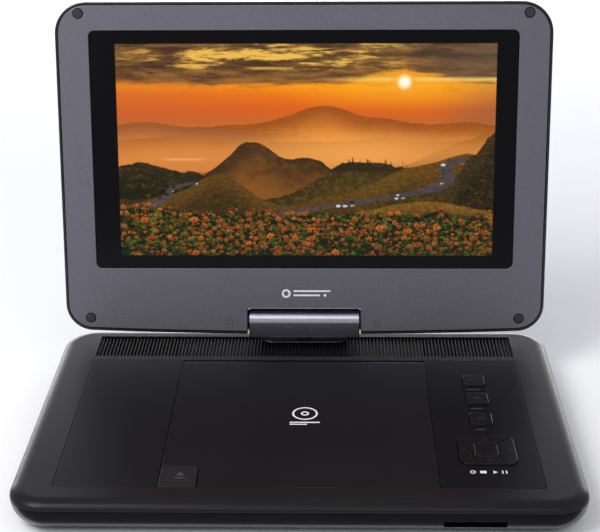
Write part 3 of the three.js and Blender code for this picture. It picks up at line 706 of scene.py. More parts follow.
    # trees on the ridge
    tn = wave(X * 30.0 + 7.0, 5.0, 0.75)
    crest = t.smooth(tn, 0.50, 0.66) * 0.055 * (bump_at(1.30, 0.10) + bump_at(1.12, 0.06) * 0.6 + bump_at(0.38, 0.05) * 0.6)
    ridge = bump_at(1.08, 0.20) * 0.165 + bump_at(1.42, 0.22) * 0.135 + 0.268
    trees = t.smooth(ridge + crest - Y, -0.002, 0.003) * t.smooth(Y, 0.395, 0.41)
    img = t.mix(trees * 0.9 * t.smooth(X, 0.95, 1.0), img, lin(46, 36, 14))
    img = hills(img, 0.235, [(0.47, 0.17, 0.155), (0.20, 0.12, 0.04)], 0.014, 12.0, 61.0,
                lin(96, 66, 18), lin(60, 42, 10), 0.12, 0.003, tex=(18.0, 2.8, 0.5, lin(38, 32, 8), lin(122, 86, 24)), keep=t.smooth(X, 1.15, 0.8))
    img = hills(img, 0.225, [(1.42, 0.26, 0.165), (1.0, 0.2, 0.05)], 0.012, 12.0, 71.0,
                lin(98, 66, 16), lin(60, 42, 10), 0.12, 0.003, tex=(18.0, 2.8, 0.5, lin(40, 32, 8), lin(126, 88, 24)), keep=t.smooth(X, 0.78, 0.98))

    img = hills(img, 0.30, [(1.66, 0.20, 0.18), (1.36, 0.18, 0.10)], 0.012, 16.0, 77.0,
                lin(104, 72, 18), lin(64, 46, 12), 0.16, 0.003, tex=(18.0, 2.8, 0.5, lin(40, 32, 8), lin(130, 92, 26)), keep=t.smooth(X, 1.02, 1.2))
    # a winding road with parked cars
    Z = Y * 1.265

    def seg(x0, y0, x1, y1, w0, w1):
        y0, y1 = y0 * 1.265, y1 * 1.265
        ex, ey = x1 - x0, y1 - y0
        q = ex * ex + ey * ey
        h = t.math("MULTIPLY_ADD", X, ex / q, t.math("MULTIPLY_ADD", Z, ey / q, -(x0 * ex + y0 * ey) / q), clamp=True)
        qx = t.math("MULTIPLY_ADD", h, -ex, X - x0)
        qy = t.math("MULTIPLY_ADD", h, -ey, Z - y0)
        d = t.math("SQRT", t.math("MULTIPLY_ADD", qy, qy, qx * qx))
        return t.math("MULTIPLY_ADD", h, w0 - w1, d) - w0

    def path(pts):
        d = None
        for a, b in zip(pts, pts[1:]):
            q = seg(a[0], a[1], b[0], b[1], a[2], b[2])
            d = q if d is None else d.min(q)
        return d

    def bend(pts, n=4):                     # smooth curve through the points
        out = []
        for i in range(len(pts) - 1):
            p0, p1, p2, p3 = pts[max(i - 1, 0)], pts[i], pts[i + 1], pts[min(i + 2, len(pts) - 1)]
            for k in range(n):
                q = k / n
                out.append(tuple(0.5 * (2 * b + (c - a) * q + (2 * a - 5 * b + 4 * c - d) * q * q + (3 * b - a - 3 * c + d) * q ** 3)
                                 for a, b, c, d in zip(p0, p1, p2, p3)))
        return out + [pts[-1]]

    road = path(bend([(1.66, 0.468, 0.016), (1.535, 0.430, 0.020), (1.570, 0.362, 0.034), (1.42, 0.306, 0.017), (1.16, 0.262, 0.011),
                      (0.92, 0.225, 0.014), (0.70, 0.190, 0.016)], 2))
    road = road.min(path(bend([(0.36, 0.350, 0.007), (0.25, 0.325, 0.014), (0.23, 0.285, 0.019), (0.12, 0.225, 0.026)], 2)))
    tar = t.mix(t.noise(P(24, 60, 1.0), 1.0, 3.0), lin(48, 42, 40), lin(98, 84, 80))
    img = t.mix(t.smooth(road, 0.003, -0.003) * 0.92, img, tar)
    cv = P(1.0, 1.7)
    cell = t.voronoi(cv, 33.0, "Distance", "F1", 0.6)
    pick = t.rgb(t.voronoi(cv, 33.0, "Color", "F1", 0.6))
    cars = t.smooth(cell, 0.44, 0.34) * t.smooth(road, 0.012, 0.0) * t.smooth(road, -0.030, -0.012) * t.smooth(pick[0], 0.36, 0.38)
    body = t.mix(t.smooth(pick[1], 0.45, 0.5), lin(46, 58, 74), lin(206, 206, 214))
    img = t.mix(cars * 0.9, img, t.mix(t.smooth(pick[1], 0.72, 0.76), body, lin(30, 28, 30)))
    # a wooded slope closing the right side
    img = hills(img, 0.22, [(1.88, 0.27, 0.44), (1.64, 0.05, 0.03)], 0.05, 24.0, 81.0,
                lin(62, 46, 18), lin(38, 30, 10), 0.16, 0.004, tex=(22.0, 2.4, 0.6, lin(24, 20, 8), lin(104, 74, 26)), keep=t.smooth(X, 1.50, 1.62))
    img = hills(img, 0.185, [(1.45, 0.30, 0.075), (0.1, 0.2, 0.01)], 0.02, 12.0, 91.0,
                lin(126, 88, 26), lin(62, 50, 16), 0.08, 0.004, tex=(26.0, 2.6, 0.6, lin(50, 40, 12), lin(150, 108, 34)))

    # meadow: dark leaves, then daisies drawn petal by petal, larger towards the viewer
    top = wave(X * 7.0 + 3.0, 4.0, 0.7) * 0.07 + 0.158 + bump_at(0.05, 0.25) * 0.035
    field = t.smooth(top + 0.012 - Y, -0.006, 0.012)
    g = t.noise(P(26.0, 34.0, 1.0), 1.6, 6.0, 0.74, 0.6)
    leaf = t.ramp(g, [(0.36, lin(6, 9, 3)), (0.48, lin(26, 31, 8)), (0.56, lin(58, 70, 14)), (0.68, lin(120, 124, 34))])
    img = t.mix(field, img, leaf)
    for sc, seed, rad, cut0, ylim in ((44.0, 1.3, 0.0110, 0.46, 0.030), (34.0, 4.7, 0.0150, 0.58, 0.016), (25.0, 8.2, 0.0215, 0.74, -0.01)):
        vx, vy = X + seed, Y + seed * 0.7
        place = t.new("Mapping")
        t.put(uv.outputs[0], place.inputs["Vector"])
        place.inputs["Location"].default_value = (seed, seed * 0.7, 0.0)
        place.inputs["Scale"].default_value = (1.77, 1.0, 0.0)
        n = t.new("TexVoronoi", feature="F1")
        n.voronoi_dimensions = "2D"
        t.put(place.outputs[0], n.inputs["Vector"])
        n.inputs["Scale"].default_value = sc
        n.inputs["Randomness"].default_value = 0.9
        cx = t.rgb(V(t, n.outputs["Color"]))
        pc = t.split(V(t, n.outputs["Position"]))
        lx, ly = vx - pc[0], (vy - pc[1]) * 1.25
        rr = (lx * lx + ly * ly).pow(0.5)
        th = t.math("ARCTAN2", ly, lx)
        petal = t.math("COSINE", th * 7.0 + cx[2] * 6.0) * 0.20 + 0.80
        size = petal * (cx[1] * 0.8 + 0.55) * rad * (g * 0.8 + 0.6)
        clump = t.smooth(t.noise(P(6.0, 9.0, seed), 1.0, 2.0, 0.6), 0.42, 0.58)
        keep = t.smooth(cx[0] + clump * 0.55, cut0 + 0.26, cut0 + 0.30)
        yc = pc[1] - seed * 0.7
        m = t.smooth(rr, size, size * 0.72) * keep * t.smooth(top + ylim - yc, 0.0, 0.004)
        col = t.mix(cx[1], lin(176, 70, 16), lin(236, 124, 46))
        col = t.mix(t.smooth(cx[2], 0.86, 0.90) * 0.8, col, lin(228, 150, 82))
        col = t.mix(t.smooth(g, 0.44, 0.62) * 0.45, t.mix(t.smooth(cx[2], 0.0, 0.5) * 0.5 + 0.3, col, lin(96, 58, 14)), col)
        col = t.mix(t.smooth(ly / rad, 0.3, -0.8) * 0.7, col, lin(104, 42, 12))
        col = t.mix(t.smooth(rr / rad, 0.36, 0.16) * 0.85, col, lin(86, 40, 10))
        img = t.mix(m, img, col)
    img = t.mix(t.smooth(Y, 0.10, -0.05) * 0.35, img, lin(16, 14, 7))
    lit = t.mix(inside, (0, 0, 0, 1), img)

    c = t.coords()
    slow = t.noise(c, 14.0, 3.0, 0.6)
    base = t.mix(slow, (0.0016, 0.0016, 0.0024, 1), (0.0030, 0.0030, 0.0042, 1))
    rough = t.remap(t.noise(c, 90.0, 4.0, 0.6), 0.3, 0.7, 0.09, 0.16)
    p = t.principled(Base_Color=base, Roughness=rough, Emission_Color=lit)
    p.inputs["Emission Strength"].default_value = 0.97
    p.inputs["Specular IOR Level"].default_value = 0.12
    return t.m


M["screen"] = picture_material()
edge_gloss(M["case"], 0.06, 1.0, 0.50, 0.64)
edge_gloss(M["border"], 0.18, 1.0, 0.66, 0.82)


# ------------------------------------------------------------------ base: lower half
def body_rings(prof, x=HW, y=HD, r=BASE_R, n=12):
    rings = []
    for inset, z in prof:
        rings.append([(a, b, z) for a, b in rrect(-x + inset, x - inset, -y + inset, y - inset, max(r - inset, 0.8), n)])
    return rings


def quarter(size, thick, n, z_low):
    """Inset and height of a curved edge that tucks in below."""
    return [(size * (1 - math.sin(math.pi / 2 * i / n)), z_low + thick * (1 - math.cos(math.pi / 2 * i / n))) for i in range(n + 1)]


def cyl(axis, r, a0, a1, p, q, n=40):
    m = Mesh()
    pts0, pts1 = [], []
    for i in range(n):
        c, s = r * math.cos(2 * math.pi * i / n), r * math.sin(2 * math.pi * i / n)
        if axis == "z":
            pts0.append((p + c, q + s, a0)); pts1.append((p + c, q + s, a1))
        elif axis == "x":
            pts0.append((a0, p + c, q + s)); pts1.append((a1, p + c, q + s))
        else:
            pts0.append((p + s, a0, q + c)); pts1.append((p + s, a1, q + c))
    return m.join(loft([pts0, pts1]))


def bx(x0, x1, y0, y1, z0, z1, r=0.0, n=4):
    if r:
        return loft([[(a, b, z) for a, b in rrect(x0, x1, y0, y1, r, n)] for z in (z0, z1)])
    return loft([[(x0, y0, z), (x1, y0, z), (x1, y1, z), (x0, y1, z)] for z in (z0, z1)])


def bx_y(x0, x1, z0, z1, y0, y1, r, n=5):
    """A rounded opening run along y."""
    o = rrect(x0, x1, z0, z1, r, n)
    return loft([[(a, y, b) for a, b in o] for y in (y1, y0)])


def bx_x(y0, y1, z0, z1, x0, x1, r, n=5):
    """A rounded opening run along x."""
    o = rrect(y0, y1, z0, z1, r, n)
    return loft([[(x, a, b) for a, b in o] for x in (x0, x1)])


def make_bottom_shell():
    top = SPLIT_Z - GAP
    prof = quarter(SHELL_ROUND, top - FOOT_H, 22, FOOT_H)
    ob = raw_object("lower_case", loft(body_rings(prof, n=14)))
    inner = [(WALL + 10, FOOT_H + 2)] + [(WALL + 10 * (1 - math.sin(math.pi / 2 * i / 6)), FOOT_H + 2 + 11.2 * (1 - math.cos(math.pi / 2 * i / 6))) for i in range(1, 7)] + [(WALL, 30)]
    rings = [[(a, b, z) for a, b in rrect(-HW + i, HW - i, -HD + i, HD - i, max(17 - (i - WALL), 7), 6)] for i, z in inner]
    cut(ob, [loft(rings)])
    posts = [cyl("z", 4, FOOT_H + 1, 9, x, y, 24) for x in (-130.5, 130.5) for y in (-76, 76)]
    posts.append(cyl("z", 1.2, 3, 11.2, 136.6, -48, 20))
    cut(ob, posts, "UNION")
    tools = []
    for x in (-130.5, 130.5):
        for y in (-76, 76):
            tools += [cyl("z", 1.75, -1, 12, x, y, 24), cyl("z", 3.1, -1, 4.5, x, y, 32)]
    for x in (-116, 116):
        for y in (-76, 76):
            tools.append(cyl("z", 6.4, -1, 2.1, x, y, 40))
    tools += [bx(72, 122, -62, 42, 0, 3.0, 1.0), bx(74, 120, -60, 40, 0, 5, 1.0)]
    for i in range(9):
        tools.append(bx(-110, -80, -44 + i * 6, -42 + i * 6, -1, 5, 0.95))
    tools += [bx_y(71.2, 102.2, 6.2, 10.8, -110, -80, 0.7)]
    for y in (45, 27, 9):
        tools.append(cyl("x", 3.45, 134, 150, y, 9, 40))
    tools += [bx_x(-32.2, -22.7, 7.3, 10.9, 134, 150, 0.35), bx_x(-55.2, -40.8, 7.3, 10.9, 138.4, 150, 1.0)]
    cut(ob, tools)
    soften(ob, 0.22, 2, 40)
    to_world(ob, base_xf)
    return finish_piece(ob, M["case"], "base", ["bottom_shell"])


make_bottom_shell()

for nm, x, y in (("front_left", -116, -76), ("front_right", 116, -76), ("rear_left", -116, 76), ("rear_right", 116, 76)):
    m = lathe([(0, 0.0), (4.6, 0.0), (5.1, 0.06), (5.5, 0.25), (5.75, 0.55), (5.95, 0.9), (6.0, 1.2), (6.0, 1.7), (5.9, 1.8), (0, 1.8)], 48, x, y)
    piece("rubber_foot_" + nm, m, base_xf, M["rubber"], "base", ["foot_" + nm])

for i, (x, y) in enumerate([(-130.5, -76), (130.5, -76), (-130.5, 76), (130.5, 76)]):
    ob = raw_object(f"case_fixing_{i + 1}", lathe([(0, 2.8), (2.0, 2.8), (2.45, 2.95), (2.68, 3.3), (2.7, 4.2), (1.3, 4.2), (1.3, 12.6), (0, 12.6)], 40, x, y))
    cut(ob, [bx(x - 1.6, x + 1.6, y - 0.35, y + 0.35, 2.0, 3.6), bx(x - 0.35, x + 0.35, y - 1.6, y + 1.6, 2.0, 3.6)])
    soften(ob, 0.05, 1, 40)
    to_world(ob, base_xf)
    finish_piece(ob, M["steel"], "base", [f"case_screw_{i + 1}"])

m = slab(rrect(72.3, 121.7, -61.7, 41.7, 0.9, 4), [], FOOT_H, 2.7, top=0.2, bottom=0.25)
for k in range(5):                     # grip ridges
    m.join(slab(rrect(88, 106, 29.0 + k * 2.0, 29.9 + k * 2.0, 0.4, 4), [], FOOT_H - 0.28, FOOT_H + 0.4, top=0.1, bottom=0.25))
piece("battery_cover", m, base_xf, M["case"], "base", ["battery_door"])


# ------------------------------------------------------------------ base: upper half
def make_top_shell():
    n = 18
    prof = [(DECK_ROUND * (1 - math.cos(math.pi / 2 * i / n)), SPLIT_Z + (DECK_Z - SPLIT_Z) * math.sin(math.pi / 2 * i / n)) for i in range(n + 1)]
    rings = [[(a, b, z) for a, b in rrect(-HW + i, HW - i, -HD + i, HD - i, BASE_R - i, 14)] for i, z in prof]
    ob = raw_object("deck_border", loft(rings))
    inner = [(WALL + 0.0, 10.0), (WALL, 15.2), (WALL + 1.0, 16.8), (WALL + 3.4, 17.8), (WALL + 5.5, 18.0)]
    irings = [[(a, b, z) for a, b in rrect(-HW + i, HW - i, -HD + i, HD - i, 16.8 - (i - WALL), 6)] for i, z in inner]
    g = GAP
    cut(ob, [loft(irings)])
    ledge = [bx(-PANEL_X - 3.0, PANEL_X + 3.0, PANEL_Y0 - 3.4, PANEL_Y0 + 2.1, 15.95, 18.5),
             bx(-PANEL_X - 3.4, -PANEL_X + 2.2, PANEL_Y0 - 3.3, GRILLE_Y1 + 3, 15.8, 18.55),
             bx(PANEL_X - 2.2, PANEL_X + 3.4, PANEL_Y0 - 3.3, GRILLE_Y1 + 3, 15.8, 18.55),
             bx(-PANEL_X, PANEL_X, PANEL_Y1 - 1.8, GRILLE_Y0 + 1.7, 16.1, 18.6),
             bx(-PANEL_X - 1, PANEL_X + 1, GRILLE_Y1 - 1.7, GRILLE_Y1 + 2.6, 16.25, 18.65),
             bx(-DIV_X - 3.3, -DIV_X - g, PANEL_Y0 + 1, PANEL_Y1 - 0.5, 13, 18), bx(DIV_X + g, DIV_X + 3.3, PANEL_Y0 + 1, PANEL_Y1 - 0.5, 13, 18)]
    ledge += [cyl("z", 3.4, 9.3, 18.4, x, y, 24) for x in (-130.5, 130.5) for y in (-76, 76)]
    cut(ob, ledge, "UNION")
    tools = [bx(-PANEL_X - g, PANEL_X + g, PANEL_Y0 - g, PANEL_Y1 + g, WELL_TOP, 30, 0.8),
             bx(-PANEL_X - g, PANEL_X + g, GRILLE_Y0 - g, GRILLE_Y1 + g, WELL_TOP, 30, 0.8),
             bx(-DIV_X - 0.1, TAB_X + 0.8, PANEL_Y0 - g + 0.01, PANEL_Y0 + 3.1, 16.5, 25),
             bx(-DIV_X + 0.4, DIV_X - 0.4, PANEL_Y1 - 5, PANEL_Y1 + g - 0.02, 10, 25),
             bx(-DIV_X - 3.6, -DIV_X + 0.5, HINGE_Y - 1.1, HINGE_Y + 1.1, 16.3, 19), bx(DIV_X - 0.5, DIV_X + 3.6, HINGE_Y - 1.1, HINGE_Y + 1.1, 16.3, 19),
             cyl("z", 5.65, 10, 30, 0, PIV_Y, 40)]
    tools += [cyl("z", 1.65, 8, 13, x, y, 20) for x in (-130.5, 130.5) for y in (-76, 76)]
    cut(ob, tools)
    soften(ob, 0.32, 3, 40)
    to_world(ob, base_xf)
    return finish_piece(ob, M["border"], "base", ["top_shell"])


make_top_shell()

# deck panels
piece("left_deck_panel", slab(rrect(-PANEL_X, -DIV_X, PANEL_Y0, PANEL_Y1, 0.6, 4), [], DECK_Z - PLATE, DECK_Z, top=0.32), base_xf,
      M["deck_left"], "base", ["left_panel"])


def pad_outline(s, r, k=0.0, n=8):
    return rrect(KEY_X - s / 2 - k, KEY_X + s / 2 + k, PAD_Y - s / 2 - k, PAD_Y + s / 2 + k, r + k, n)


holes = [rrect(KEY_X - KEY_W / 2 - GAP, KEY_X + KEY_W / 2 + GAP, y - KEY_D / 2 - GAP, y + KEY_D / 2 + GAP, 1.5, 5) for y in KEY_Y]
holes.append(pad_outline(PAD_S, 5, GAP))
piece("keypad_deck_panel", slab(rrect(DIV_X, PANEL_X, PANEL_Y0, PANEL_Y1, 0.6, 4), holes, DECK_Z - PLATE, DECK_Z, top=0.32), base_xf,
      M["deck_right"], "base", ["keypad_panel"])


def print_mark(name, polys, z, mat, body="base", thick=0.05, xf=None):
    """Thin printed ink: each polygon is its own low raised island."""
    m = Mesh()
    for p in polys:
        outer, hs = (p[0], p[1:]) if isinstance(p[0], list) else (p, [])
        m.join(slab(outer, hs, z - 0.02, z + thick, top=0.03, bottom=0.01, seg=1))
    return piece(name, m, xf or base_xf, mat, body)


def keycap(x0, x1, y0, y1, r, z0, z1, top):
    m = slab(rrect(x0, x1, y0, y1, r, 6), [], z0, z1, top=top, bottom=0.1, seg=4)
    return m


for i, y in enumerate(KEY_Y):
    m = keycap(KEY_X - KEY_W / 2, KEY_X + KEY_W / 2, y - KEY_D / 2, y + KEY_D / 2, 1.6, 17.6, KEY_TOP, 0.55)
    m.join(slab(rrect(KEY_X - KEY_W / 2 - 1, KEY_X + KEY_W / 2 + 1, y - KEY_D / 2 - 1, y + KEY_D / 2 + 1, 1.4, 3), [], 16.6, 17.9, top=0.1, bottom=0.1))
    m.join(slab(circle(KEY_X, y, 2, 20), [], 14.3, 16.9, top=0.1, bottom=0.3))
    piece(f"key_cap_{i + 1}", m, base_xf, M["key"], f"key_{i + 1}", [f"key_{i + 1}"])


def wedge_outline(dx, dy):
    """One quarter of the ring of direction keys, drawn counter-clockwise, corners rounded."""
    h, o, r = PAD_S / 2, 0.3, 5.0
    ow, od = OK_W / 2 + GAP, OK_D / 2 + GAP
    # half sizes of the centre hole along and across this direction
    a, c = (od, ow) if dy else (ow, od)
    P = lambda p, q: (KEY_X + dx * p - dy * q, PAD_Y + dy * p + dx * q)
    # the diagonal q = -(p - o) .. q = +(p - o)
    pts = []
    out_arc = []
    for k in range(9):                      # outer corner arc, from the diagonal to the flat side
        ang = math.radians(45 - 45 * k / 8)
        out_arc.append((h - r + r * math.cos(ang), h - r + r * math.sin(ang)))
    # shift the arc's first point onto this wedge's own side of the diagonal
    out_arc[0] = (out_arc[0][0] + o / 2, out_arc[0][1] - o / 2)
    inner_p = a
    q_in = min(c, inner_p - o) if inner_p - o < c else c
    if inner_p - o < c:
        inner = [(inner_p, inner_p - o)]
    else:
        inner = [(c + o, c), (inner_p, c)]
    up = inner[::-1] if len(inner) > 1 else inner
    half = up + out_arc                     # from the inner edge out along +q side
    left = [(p, -q) for p, q in half]
    poly = [P(p, q) for p, q in left] + [P(p, q) for p, q in reversed(half)]
    return round_corners(clean(poly, 1e-3), 0.45, 3)


for nm, (dx, dy) in {"up": (0, 1), "down": (0, -1), "left": (-1, 0), "right": (1, 0)}.items():
    ol = wedge_outline(dx, dy)
    area = sum(a[0] * b[1] - b[0] * a[1] for a, b in zip(ol, ol[1:] + ol[:1]))
    if area < 0:
        ol = ol[::-1]
    m = slab(ol, [], 17.6, KEY_TOP, top=0.45, bottom=0.1, seg=4)
    m.join(slab(circle(KEY_X + dx * 11, PAD_Y + dy * 11.6, 1.6, 20), [], 14.3, 17.8, top=0.1, bottom=0.3))
    piece(f"direction_key_{nm}", m, base_xf, M["key"], f"key_{nm}", [f"key_{nm}"])
m = keycap(KEY_X - OK_W / 2, KEY_X + OK_W / 2, PAD_Y - OK_D / 2, PAD_Y + OK_D / 2, 1.9, 16.6, KEY_TOP, 0.6)
m.join(slab(circle(KEY_X, PAD_Y, 2, 20), [], 14.3, 16.9, top=0.1, bottom=0.3))
piece("centre_key_cap", m, base_xf, M["key"], "key_ok", ["key_ok"])


# ------------------------------------------------------------------ speaker grille
def make_grille():
    x0, x1, y0, y1 = -PANEL_X, PANEL_X, GRILLE_Y0, GRILLE_Y1
    n, deep = 120, 1.15
    pitch = (x1 - x0 - 1.2) / n
    rib = []                                # (x, height under the top) across one pitch
    half = pitch / 2
    for k in range(5):
        a = math.pi * k / 4
        rib.append((half - 0.52 * math.cos(a), -deep * 0.45 * (1 - math.sin(a))))
    prof = [(x0, -0.15), (x0 + 0.15, 0.0), (x0 + 0.5, 0.0)]
    xs = x0 + 0.6
    for i in range(n):
        b = xs + i * pitch
        prof.append((b + 0.02, -deep))
        prof.append((b + half - 0.56, -deep))
        prof += [(b + p, q) for p, q in rib]
        prof.append((b + half + 0.56, -deep))
    prof.append((x1 - 0.58, -deep))
    prof += [(x1 - 0.5, 0.0), (x1 - 0.15, 0.0), (x1, -0.15)]
    m = Mesh()
    ys = [(y0, 0.18), (y0 + 0.12, 0.04), (y0 + 0.35, 0.0), (y0 + 0.9, 0.0), (y0 + 1.05, 1.0), (y1 - 1.05, 1.0), (y1 - 0.9, 0.0), (y1 - 0.3, 0.0), (y1 - 0.1, 0.05), (y1, 0.18)]
    rows = []
    top = GRILLE_Z
    for y, k in ys:
        if k == 1.0:
            rows.append([(x, y, top + q) for x, q in prof])
        else:
            rows.append([(x, y, top - k + (q if q > -0.2 and (x < x0 + 0.3 or x > x1 - 0.3) else 0.0)) for x, q in prof])
    nx = len(prof)
    verts = [p for r in rows for p in r]
    faces = []
    for r in range(len(rows) - 1):
        for i in range(nx - 1):
            faces.append((r * nx + i, r * nx + i + 1, (r + 1) * nx + i + 1, (r + 1) * nx + i))
    zb = DECK_Z - PLATE
    o = len(verts)
    # skirt and underside
    border = [i for i in range(nx)] + [r * nx + nx - 1 for r in range(1, len(rows))] + [(len(rows) - 1) * nx + i for i in range(nx - 2, -1, -1)] + [r * nx for r in range(len(rows) - 2, 0, -1)]
    verts += [(verts[i][0], verts[i][1], zb) for i in border]
    nb = len(border)
    for i in range(nb):
        j = (i + 1) % nb
        faces.append((border[j], border[i], o + i, o + j))
    faces.append(tuple(o + i for i in reversed(range(nb))))
    m.add(verts, faces)
    ob = raw_object("ribbed_speaker_grille", m)
    tools = [cyl("z", 5.65, 10, 30, 0, PIV_Y, 48)]
    for c in (-95, 95):                     # through slots between the ribs over each speaker
        k0, k1 = int((c - 22 - xs) / pitch), int((c + 22 - xs) / pitch)
        for k in range(k0, k1):
            b = xs + k * pitch
            tools.append(bx(b - 0.3, b + 0.3, GRILLE_Y0 + 4, GRILLE_Y1 - 4, 17, GRILLE_Z - 0.55, 0.25, 2))
    cut(ob, tools)
    to_world(ob, base_xf)
    return finish_piece(ob, M["grille"], "base", ["speaker_grille"], sharp=38)


make_grille()


# ------------------------------------------------------------------ disc bay
def make_well():
    ob = raw_object("disc_bay", bx(-DIV_X + 0.2, DIV_X - 0.2, PANEL_Y0 + 2.5, HINGE_Y - 3.0, 16.4, WELL_TOP, 0.8))
    cut(ob, [cyl("z", 64.4, 10.5, WELL_TOP - 0.005, 0, DISC_Y, 128)], "UNION")
    rim = [(WELL_R + 0.6, WELL_TOP + 0.01), (WELL_R, WELL_TOP - 0.6)]
    tools = [lathe([(0, WELL_FLOOR), (WELL_R - 1.2, WELL_FLOOR), (WELL_R - 0.35, WELL_FLOOR + 0.35), (WELL_R, WELL_FLOOR + 1.2), (WELL_R, WELL_TOP - 0.7), (WELL_R + 0.7, WELL_TOP + 0.2), (WELL_R + 0.7, 22), (0, 22)], 128, 0, DISC_Y),
             cyl("z", 3.2, 5, 30, 0, DISC_Y, 32), bx(-8, 8, -77.5, -33.8, 5, 30, 3, 8),
             bx(-80, TAB_X + 0.9, -90, TAB_Y + 0.9, 5, 30), bx(-37.2, -32.2, -79.6, -75.1, 15, 30)]
    # finger recesses at both sides of the bay
    for sx in (-1, 1):
        tools.append(cyl("z", 0.9, 16.9, 30, sx * 66.5, 40, 24))
    cut(ob, tools)
    soften(ob, 0.18, 2, 40)
    to_world(ob, base_xf)
    return finish_piece(ob, M["well"], "base", ["disc_well"])


make_well()

# disc lid: a plate drawn in plan, with a rolled rear edge run across
def make_disc_lid():
    under = DECK_Z - PLATE
    L0, L1 = -DIV_X + 0.4, DIV_X - 0.4
    X, Y, r = TAB_X + 0.5, TAB_Y + 0.5, 3.9
    front = round_corners([(L1, PANEL_Y0), (L1, HINGE_Y + 0.05), (L0, HINGE_Y + 0.05), (L0, Y)], 0.4, 3)
    outline = [(X, PANEL_Y0)] + front + arc(X - r, Y - r, r, 90, 0, 10)
    piece("disc_lid_cover", slab(outline, [], under, DECK_Z, top=0.3, bottom=0.12, seg=4), base_xf, M["deck"], "disc_lid", ["disc_lid"])
    bead = raw_object("disc_lid_rear_bead", cyl("x", BEAD_R, L0 + 0.12, L1 - 0.12, HINGE_Y, HINGE_Z, 64))
    soften(bead, 0.25, 3, 50)
    to_world(bead, base_xf)
    finish_piece(bead, M["deck"], "disc_lid", ["disc_lid"], sharp=30)
    # parts under the lid: stiffening ring, clamp rim, latch hook and pivot pins
    u = Mesh()
    ring = slab(circle(0, DISC_Y, 50, 96), [circle(0, DISC_Y, 48.8, 96)], 16.6, 18.25, top=0.05, bottom=0.3)
    u.join(ring)
    u.join(slab(circle(0, DISC_Y, 9.5, 64), [circle(0, DISC_Y, 8.4, 64)], 17.55, 18.25, top=0.05, bottom=0.2))
    for k in range(6):
        a = math.pi / 3 * k + math.pi / 6
        c, s = math.cos(a), math.sin(a)
        poly = [(c * r - s * w, DISC_Y + s * r + c * w) for r, w in ((11, -0.5), (48.7, -0.5), (48.7, 0.5), (11, 0.5))]
        u.join(slab(poly, [], 17.2, 18.25, top=0.05, bottom=0.2, seg=2))
    u.join(slab(rrect(-35.6, -33.2, -78.7, -76.3, 0.4, 3), [], 12.6, 18.25, top=0.05, bottom=0.4))
    u.join(slab(rrect(-36.2, -35.4, -78.7, -76.3, 0.3, 3), [], 12.6, 13.4, top=0.2, bottom=0.3))
    pins = cyl("x", 0.7, -DIV_X - 2, -DIV_X + 1, HINGE_Y, HINGE_Z, 20)
    pins.join(cyl("x", 0.7, DIV_X - 1, DIV_X + 2, HINGE_Y, HINGE_Z, 20))
    piece("disc_lid_underframe", u, base_xf, M["case"], "disc_lid")
    piece("disc_lid_pins", pins, base_xf, M["case"], "disc_lid")


make_disc_lid()

s = rrect(-DIV_X + 0.4, TAB_X, PANEL_Y0, TAB_Y, (0.5, 0.5, 3.4, 0.5), 8)
m = slab(s, [], DECK_Z - PLATE, DECK_Z, top=0.38, bottom=0.1, seg=4)
m.join(slab(rrect(-62, -58.4, -76.8, -71.8, 0.4, 3), [], 14.6, 18.4, top=0.05, bottom=0.3))
piece("open_button_cap", m, base_xf, M["tab"], "open_button", ["open_button"])


# ------------------------------------------------------------------ hinge
def make_barrel():
    r, b, c = BARREL_R, BARREL_BOTTOM, 1.2
    pts = [(-r + c, b), (r - c, b), (r, b + c), (r, PIV_Z - 0.5)]
    pts = [(PIV_Y + p, q) for p, q in pts]
    dome = [(PIV_Y + r * math.cos(math.pi * i / 28), PIV_Z + r * math.sin(math.pi * i / 28)) for i in range(29)]
    low = round_corners([(PIV_Y - r, b), (PIV_Y + r, b), (PIV_Y + r, PIV_Z), (PIV_Y - r, PIV_Z)], 1.3, 5)
    bottom = [p for p in low if p[1] < PIV_Z - 1.5]
    # keep counter-clockwise order: lower left, lower right, dome from right to left
    left = [p for p in bottom if p[0] < PIV_Y]
    right = [p for p in bottom if p[0] >= PIV_Y]
    outline = clean(sorted(left, key=lambda p: (-p[1], p[0])) + sorted(right, key=lambda p: (p[1], p[0])) + dome, 1e-3)
    m = slab(outline, [], -BARREL_W / 2, BARREL_W / 2, top=0.7, bottom=0.7, seg=4)
    ob = piece("hinge_barrel_cover", m, chain(yzx, base_xf), M["barrel"], "swivel", ["hinge_cover"])
    return ob


make_barrel()

for sx, nm in ((-1, "left"), (1, "right")):
    a = sorted((sx * 32.4, sx * (NOTCH_HW - 0.12)))
    c = raw_object(f"hinge_collar_{nm}", cyl("x", 6.1, a[0], a[1], PIV_Y, PIV_Z, 48))
    soften(c, 0.15, 2, 50)
    to_world(c, base_xf)
    finish_piece(c, M["hinge_black"], "swivel", sharp=30)

m = slab(rrect(-26, 26, 78.6, 97.4, 8, 12), [circle(0, PIV_Y, 4.45, 48)], DECK_Z + GAP, DECK_Z + 1.3, top=0.5, bottom=0.15, seg=4)
m.join(slab(circle(0, PIV_Y, 5.25, 48), [circle(0, PIV_Y, 4.4, 48)], 13.6, DECK_Z + 0.6, top=0.1, bottom=0.3))
piece("swivel_seat_plate", m, base_xf, M["hinge_black"], "base", ["swivel_seat"])


# ------------------------------------------------------------------ screen
def lid_bottom(x, k=0.0):
    rb = 16 - k
    X0, b = LID_HW - k - rb, LID_BOT + LID_SAG + k
    s = (x + X0) / (2 * X0)
    return b - 4 * LID_SAG * s * (1 - s)


